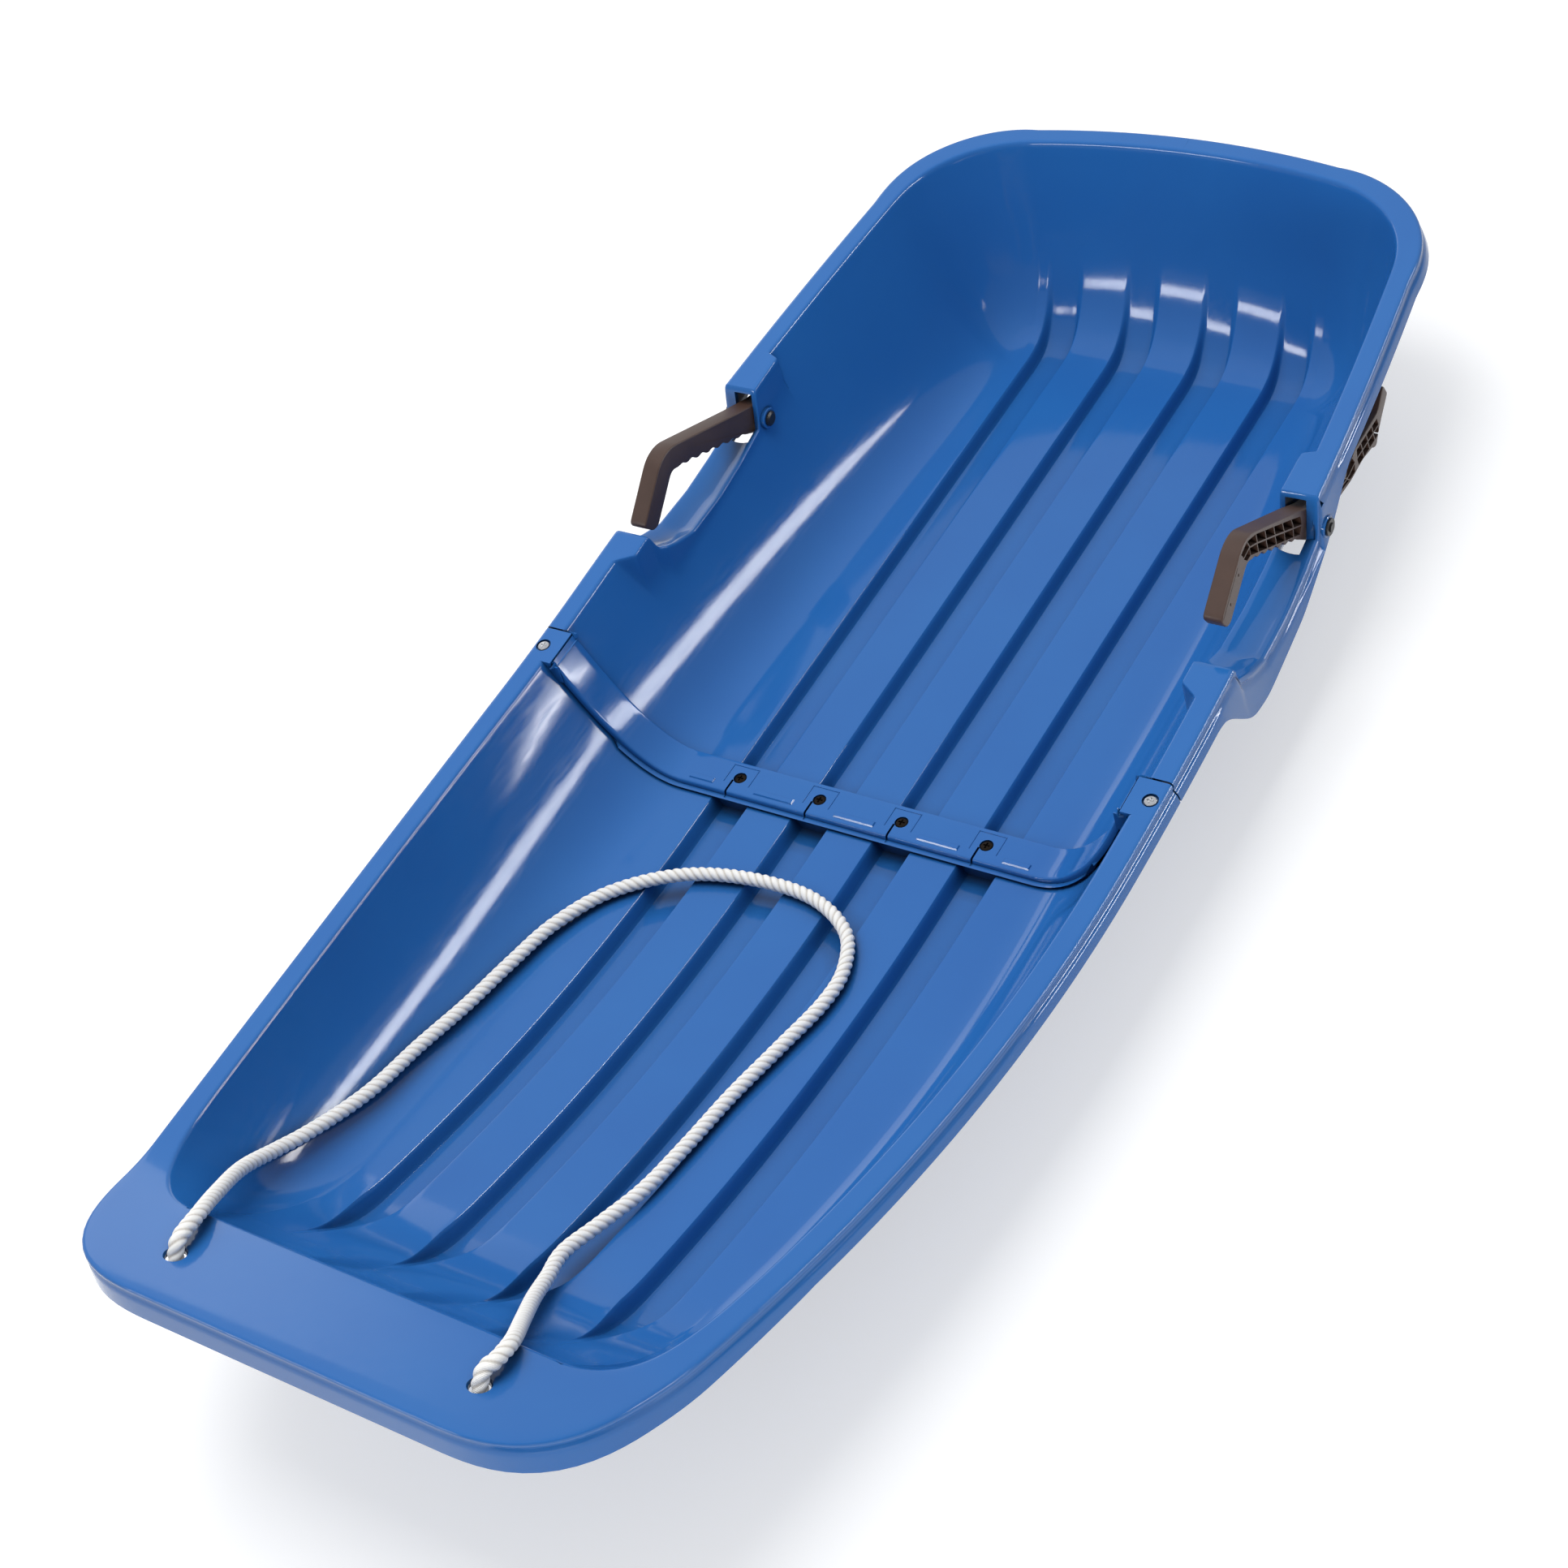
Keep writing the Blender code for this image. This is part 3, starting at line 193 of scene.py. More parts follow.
def applyModifiers(item):  # the mesh after its modifiers takes the place of the plain one
    bpy.context.view_layer.update()
    graph = bpy.context.evaluated_depsgraph_get()
    made = bpy.data.meshes.new_from_object(item.evaluated_get(graph), preserve_all_data_layers=True, depsgraph=graph)
    item.modifiers.clear()
    item.data = made


def cutAway(item, cutters):  # one difference with all cutters joined
    tool = linked("cutTool", meshFrom("cutTool", *joined(cutters), weld=0.000001))
    step = item.modifiers.new("Cut", "BOOLEAN")
    step.operation = "DIFFERENCE"
    step.solver = "MANIFOLD"
    step.object = tool
    applyModifiers(item)
    bpy.data.objects.remove(tool, do_unlink=True)


def boxPart(*spans):  # corner points and faces of a box from its spans of x, along and level
    ends = toOwn(np.sort(spans, axis=1).T)
    points = [[ends[i, 0], ends[j, 1], ends[k, 2]] for i in (0, 1) for j in (0, 1) for k in (0, 1)]
    return points, [(0, 1, 3, 2), (4, 6, 7, 5), (0, 4, 5, 1), (2, 3, 7, 6), (0, 2, 6, 4), (1, 5, 7, 3)]


def turnedPart(profile, centre, axis, sides=32):
    # Turned body: radius and height along the axis from the profile, carried round the axis
    profile = np.array(profile, float)
    up = np.array(axis, float) / np.linalg.norm(axis)
    first = np.cross(up, [0.0, 1.0, 0.0] if abs(up[1]) < 0.9 else [1.0, 0.0, 0.0])
    first /= np.linalg.norm(first)
    angle = np.linspace(0, 2 * np.pi, sides, endpoint=False)[:, None]
    ring = np.cos(angle) * first + np.sin(angle) * np.cross(up, first)
    points = toOwn(centre) + profile[:, 0, None, None] * ring + profile[:, 1, None, None] * up
    return points.reshape(-1, 3), tubeFaces(len(profile), sides)


def rodPart(centre, radius, length, axis, sides=32):
    return turnedPart([(radius, -length / 2), (radius, length / 2)], centre, axis, sides)


# Materials

def hexLinear(code):  # sRGB hex to linear colour
    parts = [int(code[i:i + 2], 16) / 255 for i in (1, 3, 5)]
    return [p / 12.92 if p <= 0.04045 else ((p + 0.055) / 1.055) ** 2.4 for p in parts] + [1.0]


def addNode(tree, kind, settings=(), links=()):  # a node with its input values and its incoming links
    node = tree.nodes.new(kind)
    for name, value in dict(settings).items():
        if isinstance(name, int) or name in node.inputs:
            node.inputs[name].default_value = value
        else:
            setattr(node, name, value)
    for name, source in dict(links).items():
        tree.links.new(source, node.inputs[name])
    return node


def newMaterial(name, shaderSettings):
    made = bpy.data.materials.new(name)
    made.use_nodes = True
    shader = made.node_tree.nodes["Principled BSDF"]
    for key, value in shaderSettings.items():
        shader.inputs[key].default_value = value
    return made, made.node_tree, shader


def noiseShare(tree, place, cellMm, detail, rough=0.5):  # noise from 0 to 1 with cells of a width in mm
    return addNode(tree, "ShaderNodeTexNoise", {"Scale": 1000 / cellMm, "Detail": detail, "Roughness": rough},
                   {"Vector": place}).outputs["Fac"]


def twoTones(tree, share, first, second):  # colour between two sRGB hex tones
    return addNode(tree, "ShaderNodeMix", {"data_type": "RGBA", 6: hexLinear(first), 7: hexLinear(second)},
                   {"Factor": share}).outputs[2]


def addRoughness(tree, shader, share, low, high, span=(0.0, 1.0)):
    rough = addNode(tree, "ShaderNodeMapRange", {"From Min": span[0], "From Max": span[1], "To Min": low,
                                                 "To Max": high}, {"Value": share})
    tree.links.new(rough.outputs["Result"], shader.inputs["Roughness"])


def addBump(tree, shader, height, strength, depthMm):
    bump = addNode(tree, "ShaderNodeBump", {"Strength": strength, "Distance": depthMm / 1000}, {"Height": height})
    tree.links.new(bump.outputs["Normal"], shader.inputs["Normal"])


def shellPlastic():
    # Polyethylene, blow moulded: an even blue with a soft gloss, faint flow clouds and fine rub marks, and painted
    # shade that darkens the base colour in grooves, creases and corners
    look = {"blue": "#2766A9", "cloud": "#225CA1", "cloudMm": 90, "peelMm": 8.8, "peelDepthMm": 0.6, "rubMm": 2.4,
            "rubStretch": 0.12, "gloss": 0.09, "paintedShadeMm": 22, "paintedShadeLowest": 0.22}
    made, tree, shader = newMaterial("polyethyleneMoulded", {"IOR": 1.51, "Roughness": look["gloss"],
                                                              "Specular IOR Level": 0.4})
    place = addNode(tree, "ShaderNodeTexCoord").outputs["Object"]
    tint = twoTones(tree, noiseShare(tree, place, look["cloudMm"], 3.0), look["blue"], look["cloud"])
    # Painted shade: ambient occlusion darkens the base colour in the narrow grooves, creases and corners
    nook = addNode(tree, "ShaderNodeAmbientOcclusion", {"samples": 6, "Distance": look["paintedShadeMm"] / 1000})
    deep = addNode(tree, "ShaderNodeMapRange", {"From Min": 0.4, "From Max": 0.8, "To Min": look["paintedShadeLowest"]},
                   {"Value": nook.outputs["AO"]})
    paintedShadeTint = addNode(tree, "ShaderNodeVectorMath", {"operation": "SCALE"}, {0: tint, "Scale": deep.outputs["Result"]})
    tree.links.new(paintedShadeTint.outputs["Vector"], shader.inputs["Base Color"])
    stretch = addNode(tree, "ShaderNodeMapping", {"Scale": (1.0, look["rubStretch"], 1.0)}, {"Vector": place})
    rub = noiseShare(tree, stretch.outputs["Vector"], look["rubMm"], 2.0)
    addRoughness(tree, shader, rub, look["gloss"] - 0.02, look["gloss"] + 0.05, (0.35, 0.8))
    addBump(tree, shader, noiseShare(tree, place, look["peelMm"], 1.0), 0.02, look["peelDepthMm"])
    return made


def grainPlastic(name, dark, worn, grainMm, gloss, patchMm=25, grainDepthMm=0.2):
    # Moulded nylon with a fine eroded grain: satin, a little paler where hands have rubbed it
    made, tree, shader = newMaterial(name, {"IOR": 1.53, "Roughness": gloss})
    place = addNode(tree, "ShaderNodeTexCoord").outputs["Object"]
    patch = noiseShare(tree, place, patchMm, 4.0, 0.65)
    tree.links.new(twoTones(tree, patch, dark, worn), shader.inputs["Base Color"])
    addRoughness(tree, shader, patch, gloss - 0.06, gloss + 0.08)
    addBump(tree, shader, noiseShare(tree, place, grainMm, 3.0), 0.25, grainDepthMm)
    return made


def platedSteel(name, bright, dull, gloss, patchMm=20 / 7):
    # Steel with a thin plating: cloudy patches of two tones and of two glosses
    made, tree, shader = newMaterial(name, {"Metallic": 1.0, "Roughness": gloss})
    place = addNode(tree, "ShaderNodeTexCoord").outputs["Object"]
    patch = noiseShare(tree, place, patchMm, 4.0, 0.6)
    tree.links.new(twoTones(tree, patch, bright, dull), shader.inputs["Base Color"])
    addRoughness(tree, shader, patch, gloss - 0.08, gloss + 0.12)
    return made


def ropeFibre():
    # Twisted polypropylene fibre: matt off-white, with painted shade that greys it in the grooves between strands, fine
    # yarn lines along each strand
    look = {"pale": "#FCFAF5", "groove": "#CDC5B9", "yarns": 9, "yarnDepthMm": 0.3}
    made, tree, shader = newMaterial("ropeFibre", {"IOR": 1.49, "Roughness": 0.82, "Sheen Weight": 0.25,
                                                   "Sheen Roughness": 0.5})
    depth, yarn = (addNode(tree, "ShaderNodeAttribute", {"attribute_name": label}).outputs["Fac"]
                   for label in ("strandHeight", "yarnPlace"))
    # Painted shade: the base colour runs from the grey groove tone deep between the strands to the pale tone on their
    # crowns
    tree.links.new(twoTones(tree, depth, look["groove"], look["pale"]), shader.inputs["Base Color"])
    wave = addNode(tree, "ShaderNodeMath", {"operation": "MULTIPLY", 1: 2 * math.pi * look["yarns"]}, {0: yarn})
    line = addNode(tree, "ShaderNodeMath", {"operation": "SINE"}, {0: wave.outputs["Value"]})
    addBump(tree, shader, line.outputs["Value"], 0.5, look["yarnDepthMm"])
    return made


shellLook = shellPlastic()
leverLook = grainPlastic("nylonSatin", "#3A2922", "#4C382F", 2.0, 0.46)
pinLook = grainPlastic("nylonBlack", "#121214", "#1D1D20", 1.6, 0.4)
floorScrewLook = platedSteel("steelBronzed", "#3B332C", "#28221D", 0.46)
rimScrewLook = platedSteel("steelBrightZinc", "#D9DADC", "#B4B6BA", 0.3)
zincLook = platedSteel("steelZinc", "#B0B2B6", "#8E9095", 0.38)
ropeLook = ropeFibre()
print("sled: materials made")


# Tow rope: three strands laid round each other along the route

rope = {
    "diameter": 0.0095,
    "layPitch": 0.0174,
    "strands": 3,
    "strandReach": 0.68,
    "ringStep": 0.001,
    "sides": 36,
    "knotReach": 0.0082,
    "knotHeight": 1.6,
    "knotDrop": 0.0103,
    "knotRadius": 0.0042,
    "grooveShadeContrast": 1.6,
}
ropeRoute = [
    (-0.1066, -0.5277, 0.1627), (-0.1066, -0.5243, 0.1701), (-0.1075, -0.5165, 0.1752), (-0.1126, -0.4972, 0.1685),
    (-0.1283, -0.4739, 0.1485), (-0.1490, -0.4425, 0.1190), (-0.1580, -0.4133, 0.0935), (-0.1580, -0.3910, 0.0800),
    (-0.1568, -0.3580, 0.0645), (-0.1560, -0.3303, 0.0545), (-0.1570, -0.2900, 0.0430), (-0.1554, -0.2448, 0.0308),
    (-0.1527, -0.1998, 0.0228), (-0.1469, -0.1589, 0.0170), (-0.1282, -0.1199, 0.0127), (-0.0900, -0.0900, 0.0111),
    (-0.0430, -0.0770, 0.0107), (0.0059, -0.0775, 0.0107), (0.0418, -0.0950, 0.0111), (0.0578, -0.1230, 0.0129),
    (0.0603, -0.1530, 0.0152), (0.0540, -0.1959, 0.0197), (0.0480, -0.2419, 0.0263), (0.0460, -0.2860, 0.0343),
    (0.0440, -0.3290, 0.0440), (0.0380, -0.3640, 0.0535), (0.0343, -0.3935, 0.0640), (0.0439, -0.4181, 0.0780),
    (0.0571, -0.4409, 0.0980), (0.0787, -0.4665, 0.1280), (0.1040, -0.4934, 0.1640), (0.1085, -0.5093, 0.1735),
    (0.1066, -0.5175, 0.1750), (0.1066, -0.5243, 0.1701), (0.1066, -0.5277, 0.1627)]


def smoothLine(route, step):
    # Catmull-Rom curve through the route, read at even lengths
    route = np.array(route, float)
    padded = np.concatenate([[2 * route[0] - route[1]], route, [2 * route[-1] - route[-2]]])
    t = np.linspace(0, 1, 24, endpoint=False)[None, :, None]
    a, b, c, d = (padded[i:len(padded) - 3 + i][:, None, :] for i in range(4))
    fine = 0.5 * (2 * b + (c - a) * t + (2 * a - 5 * b + 4 * c - d) * t ** 2 + (3 * b - a - 3 * c + d) * t ** 3)
    fine = np.concatenate([fine.reshape(-1, 3), route[-1:]])
    whole = runAlong(fine)[-1]
    places = np.linspace(0, whole, int(whole / step) + 1)
    return readLine(fine, places), places


def carriedFrames(line, closed):  # two normals along a line that turn as little as they can
    ahead = np.roll(line, -1, axis=0) - np.roll(line, 1, axis=0)
    if not closed:
        ahead[0], ahead[-1] = line[1] - line[0], line[-1] - line[-2]
    ahead /= np.linalg.norm(ahead, axis=1)[:, None]
    first = np.zeros_like(line)
    first[0] = np.cross(ahead[0], [0.3, 1.0, 0.2])
    for i in range(1, len(line)):
        first[i] = first[i - 1] - ahead[i] * np.dot(first[i - 1], ahead[i])
        first[i] /= np.linalg.norm(first[i])
    first[0] /= np.linalg.norm(first[0])
    return first, np.cross(ahead, first)


def laidTube(name, line, places, radius, closed=False):
    # Laid rope: the outline of round strands side by side, turned once each lay pitch
    sides, reach = rope["sides"], rope["strandReach"]
    first, second = carriedFrames(line, closed)
    angle = np.linspace(0, 2 * np.pi, sides, endpoint=False)[None, :]
    lay = angle - 2 * np.pi * places[:, None] / rope["layPitch"]
    sector = 2 * np.pi / rope["strands"]
    off = (lay + sector / 2) % sector - sector / 2
    share = (1 - reach) * np.cos(off) + np.sqrt(reach ** 2 - ((1 - reach) * np.sin(off)) ** 2)
    around = np.cos(angle)[:, :, None] * first[:, None, :] + np.sin(angle)[:, :, None] * second[:, None, :]
    points = line[:, None, :] + (radius * share)[:, :, None] * around
    if closed:
        faces = (gridFaces(len(line) + 1, sides, closed=True) % (len(line) * sides)).tolist()
    else:
        faces = tubeFaces(len(line), sides)
    data = bpy.data.meshes.new(name)
    data.from_pydata(points.reshape(-1, 3).tolist(), [], faces)
    # strandHeight is the mask of the painted groove shade: 0 deep between the strands, 1 on their crowns
    height = np.clip((share - share.min()) / (1 - share.min()) * rope["grooveShadeContrast"], 0, 1)
    for label, values in (("strandHeight", height), ("yarnPlace", off / sector + 0.5)):
        data.attributes.new(label, "FLOAT", "POINT").data.foreach_set("value", values.astype(np.float32).ravel())
    data.shade_smooth()
    return reworked(data, facesOut)


def knotMesh(name, end):
    # Stopper knot: a rope along a threefold knot line, (2 + cos 3t) round the axis twice and sin 3t along it
    t = np.linspace(0, 2 * np.pi, 150, endpoint=False)
    across = np.array([1.0, 0.0, 0.0])
    back = np.cross(deckUp, across)
    girth = 2 + np.cos(3 * t)
    amounts = (girth * np.cos(2 * t), girth * np.sin(2 * t), rope["knotHeight"] * np.sin(3 * t))
    knot = sum(amount[:, None] * way for amount, way in zip(amounts, (across, back, deckUp)))
    line = end - deckUp * rope["knotDrop"] + rope["knotReach"] / 3 * knot
    return laidTube(name, line, runAlong(line), rope["knotRadius"], True)


ropeLine, ropePlaces = smoothLine(toOwn(ropeRoute), rope["ringStep"])
deckUp = np.array([0.0, deckSlope, 1.0]) / math.hypot(deckSlope, 1.0)
ropeItem = addPiece("towRope", laidTube("towRope", ropeLine, ropePlaces, rope["diameter"] / 2), ropeLook, "sled",
                    "tow_rope")
knotLeft, knotRight = (addPiece(name, knotMesh(name, end), ropeLook, "sled", replaced)
                       for name, end, replaced in (("ropeKnotLeft", ropeLine[0], "rope_knot_left"),
                                                   ("ropeKnotRight", ropeLine[-1], "rope_knot_right")))
print("sled: rope laid,", round(float(ropePlaces[-1]), 4), "m")


# Lines of the tub

tub = {
    "wall": 0.0035,
    "halfWidth": 0.222,
    "straight": 0.05,
    "frontRadius": 1.9,
    "rearRadius": 3.57,
    "flange": 0.0153,
    "skirtDrop": 0.015,
    "noseDrop": 0.024,
    "skirtFlare": 0.0035,
    "outerLean": 0.0003,
    "grooveDepth": 0.0014,
    "grooveFall": 0.0062,
    "grooveHalf": 0.0022,
    "rimLow": 0.1022,
    "rimLowAlong": -0.075,
    "rimSweep": 1.724,
    "rearSlope": 0.0765,
    "deckLevel": 0.156,
    "sideRun": 0.087,
    "sidePower": 2.15,
    "innerEdge": 0.0019,
    "outerEdge": 0.003,
    "pitch": 0.0643,
    "channelWidth": 0.0283,
    "channelDraft": 0.0037,
    "channelRound": 0.0006,
    "channelSoft": 0.0014,
    "channelEdge": 0.0012,
    "tiltShare": 0.2,
    "cornerFlange": 0.2,
    "fadeStart": 0.2,
    "fadeEnd": 0.72,
    "tipShare": 0.15,
    "deckBlend": 0.003,
}
front = {"way": -1, "end": 0.491, "pole": 0.381, "run": 0.062, "power": 2.5, "corner": 4.0, "depth": 0.0115,
         "bow": 1e9, "deck": 0.067, "deckCorner": 0.072, "deckPower": 3.0, "floorStep": 0.0045, "floorBend": 0.046,
         "floorRadius": 1.2}
rear = {"way": 1, "end": 0.5563, "pole": 0.4593, "run": 0.08, "power": 3.0, "corner": 2.85, "depth": 0.0105,
        "bow": 0.66, "channelFrom": 0.0143, "channelFade": 0.0042}
bandSizes = {"front": -0.0145, "rise": 0.0105, "wallRise": 0.0065, "tabRear": 0.0128, "lipGap": 0.0022,
             "topDrop": 0.0038, "padSink": 0.0003, "tailWall": 18}
housing = {
    "cutFront": 0.1083,
    "cutLength": 0.1477,
    "cutDepth": 0.0305,
    "rearFrom": 0.945,
    "rearEdge": 0.72,
    "deepSkirt": 0.0425,
    "dip": 0.003,
    "dipOver": 0.012,
    "blur": 0.012,
    "skirtBlur": 0.05,
    "limitBlur": 0.0006,
    "limitBlend": 0.0012,
    # share of the cut-out's length with shares of its depth and of the deep skirt, then along with the wall's limit
    "levels": ((-1, 0), (0, 0), (0.022, 0.46), (0.13, 0.75), (0.27, 1), (0.52, 0.98), (0.75, 0.82), (0.865, 0.69),
               (0.945, 0.61)),
    "skirts": ((-0.22, 0), (-0.155, 0.1), (-0.074, 0.43), (0.047, 0.87), (0.21, 1), (0.65, 0.88), (1, 0.53),
               (1.3, 0)),
    "limits": ((0.0805, 0.222), (0.0895, 0.2087), (0.1083, 0.2087), (0.1173, 0.2043), (0.29, 0.2043),
               (0.297, 0.222)),
}
pivotAlong = 0.2585
pivotLevel = 0.0945
leverX = 0.21565

# places as (x, along), profiles as pairs of radius and height, spans in x, along and level
bores = {
    "deckHole": (0.1066, -0.5243),
    "deckProfile": ((0.00595, -0.012), (0.00595, -0.0012), (0.0075, 0.0006), (0.0075, 0.01)),
    "rimScrew": (0.2298, -0.0023),
    "rimProfile": ((0.0021, -0.012), (0.0021, -0.0017), (0.0053, -0.0017), (0.0053, 0.01)),
    "rimRadius": 0.0021,
    "floorProfile": ((0.0023, -0.012), (0.0023, -0.0022), (0.0048, -0.0022), (0.0048, 0.004)),
    "floorRadius": 0.0023,
    "pinRadius": 0.0033,
    "peepRadius": 0.0028,
    "peepRise": 0.0195,
    "collar": ((0.0034, 0.0), (0.0072, 0.0), (0.0078, 0.0006), (0.0078, 0.004), (0.0034, 0.004), (0.0034, 0.0)),
    "collarX": 0.2013,
}
ledges = {
    "web": ((0.2105, 0.2195), (-0.01565, -0.0147), (-0.0179, -0.0034)),
    "shoe": ((-0.0099, 0.0099), (-0.0754, -0.0154), (-0.014, -0.0088)),
    "notch": ((-0.005, -0.0034), (-0.0165, -0.0028), (0.0062, 0.012)),
    "slot": ((-0.00735, 0.00735), (-0.023, 0.006), -0.03, -0.0042),
    "slotRim": 0.256,
    "ledge": ((0.21795, 0.2262), (-0.0143, 0.0172), (-0.0078, -0.0043)),
    "bars": ((-0.133, -0.1128), (-0.0801, -0.0485), (-0.0158, 0.0158), (0.0485, 0.0801), (0.1128, 0.133)),
    "barAlong": (-0.0106, -0.0055),
    "barRise": 0.0009,
    "plateEdges": ((-0.0105, -0.0097, -0.006, 0.0105), (0.0097, 0.0105, -0.006, 0.0105),
                   (-0.0097, 0.0097, 0.0097, 0.0105)),
    "plateRise": 0.0004,
}
screwColumns = [side * tub["pitch"] * step for side in (-1, 1) for step in (0.5, 1.5)]


def halfWidth(along):
    past = np.maximum(np.abs(along) - tub["straight"], 0)
    return tub["halfWidth"] - past ** 2 / (2 * np.where(along < 0, tub["frontRadius"], tub["rearRadius"]))


def rimHeight(along):
    rise = along - tub["rimLowAlong"]
    knee = tub["rearSlope"] * tub["rimSweep"]
    swept = tub["rimLow"] + np.minimum(rise, knee) ** 2 / (2 * tub["rimSweep"])
    swept = swept + tub["rearSlope"] * np.maximum(rise - knee, 0)
    deck = tub["deckLevel"] - deckSlope * (along + front["end"])
    return np.where(rise < 0, -softMin(-swept, -deck, tub["deckBlend"]), swept)


def rimAt(along):  # rim height at one place
    return float(rimHeight(np.array(along)))


def ledgeBox(name, side=1, x=0, level=0):  # a named box, mirrored for the left side and moved
    xs, alongs, levels = ledges[name]
    return boxPart(np.multiply(xs, side) + x, alongs, np.add(levels, level))


def floorLevel(end, along):
    if end["way"] > 0:
        return np.zeros_like(along)
    past = np.maximum(-along - end["floorBend"], 0)
    return end["floorStep"] + past ** 2 / (2 * end["floorRadius"])


def wallRun(end, along):
    return tub["sideRun"] + (end["run"] - tub["sideRun"]) * np.clip(end["way"] * along / end["pole"], 0, 1)


def endLine(end, x):
    return end["end"] - x ** 2 / (2 * end["bow"])


def floorColumns(edge):
    # Floor x places from the centre plane to the floor's edge, close together at the channels' sides
    half = tub["channelWidth"] / 2
    side = half + np.array([0.0011, 0.0006, 0.0, -0.0008, -0.0017, -0.0026, -0.0034, -0.004, -0.0047])
    fixed = [np.array([0, 0.006, 0.012, 0.0155])]
    for index in (0, 1):
        centre = tub["pitch"] * (index + 0.5)
        fixed += [centre - side, centre + np.array([-0.006, 0, 0.006]), centre + side[::-1]]
        if index == 0:
            fixed.append(np.array([0.0505, 0.057, 0.0643, 0.0716, 0.0781]))
    fixed = np.concatenate(fixed)
    last = fixed[-1]
    share = np.linspace(0, 1, 8)[1:]
    edge = np.atleast_1d(edge)[:, None]
    return np.concatenate([np.tile(fixed, (len(edge), 1)), last + (edge - last) * share], axis=1)


def channelShare(x):
    # Channel depth share: a flat bottom, drafted sides and rounded edges
    half = tub["channelWidth"] / 2
    off = np.minimum(np.abs(x - tub["pitch"] * 0.5), np.abs(x - tub["pitch"] * 1.5))
    bottom = half - tub["channelDraft"] - tub["channelRound"]
    return 1 - smoothShare((off - bottom) / (tub["channelDraft"] + tub["channelSoft"]))


floorCount = floorColumns(tub["halfWidth"]).shape[1]
wallShares = np.array([0.04, 0.08, 0.13, 0.18, 0.24, 0.3, 0.36, 0.42, 0.48, 0.54, 0.6, 0.66, 0.72, 0.78, 0.83,
                       0.88, 0.92, 0.95, 0.97, 0.985])


def bend(start, corner, stop, steps):  # points of a quadratic curve, its start left out
    t = np.linspace(0, 1, steps + 1)[1:, None]
    return (1 - t) ** 2 * start[:, None, :] + 2 * t * (1 - t) * corner[:, None, :] + t ** 2 * stop[:, None, :]


def rowGrid(x, along, level):  # points of rows that each lie at one along
    return np.stack([x, np.tile(along[:, None], x.shape[1:]), np.broadcast_to(level, x.shape)], axis=-1)


def rimAndSkirt(wall, corner, outer, way, drop, dip):
    # Flange from the rim's rounded inner edge to its rolled outer edge, then the skirt with its groove
    across = outer - corner
    across = across / np.linalg.norm(across, axis=1)[:, None]
    inner = corner + across * tub["innerEdge"]
    roll = outer - across * tub["outerEdge"]
    way3 = np.concatenate([way, np.zeros((len(way), 1))], axis=1)
    down = np.array([0, 0, -1.0])
    under = outer + down * tub["outerEdge"] + way3 * tub["outerLean"]
    share = np.linspace(0, 1, 8)[1:-1]
    flat = inner[:, None, :] + (roll - inner)[:, None, :] * share[:, None]
    flat[:, :, 2] -= dip[:, None] * np.sin(np.pi * share)
    share = np.linspace(0, 1, 13)[None, 1:]
    fall = tub["outerEdge"] + (drop[:, None] - tub["outerEdge"]) * share
    reach = tub["outerLean"] + (tub["skirtFlare"] - tub["outerLean"]) * share
    groove = tub["grooveDepth"] * np.exp(-((fall - tub["grooveFall"]) / tub["grooveHalf"]) ** 2)
    skirt = outer[:, None, :] + down * fall[:, :, None] + way3[:, None, :] * (reach - groove)[:, :, None]
    return np.concatenate([wall, bend(wall[:, -1], corner, inner, 5), flat, roll[:, None, :],
                           bend(roll, outer, under, 5), skirt], axis=1)


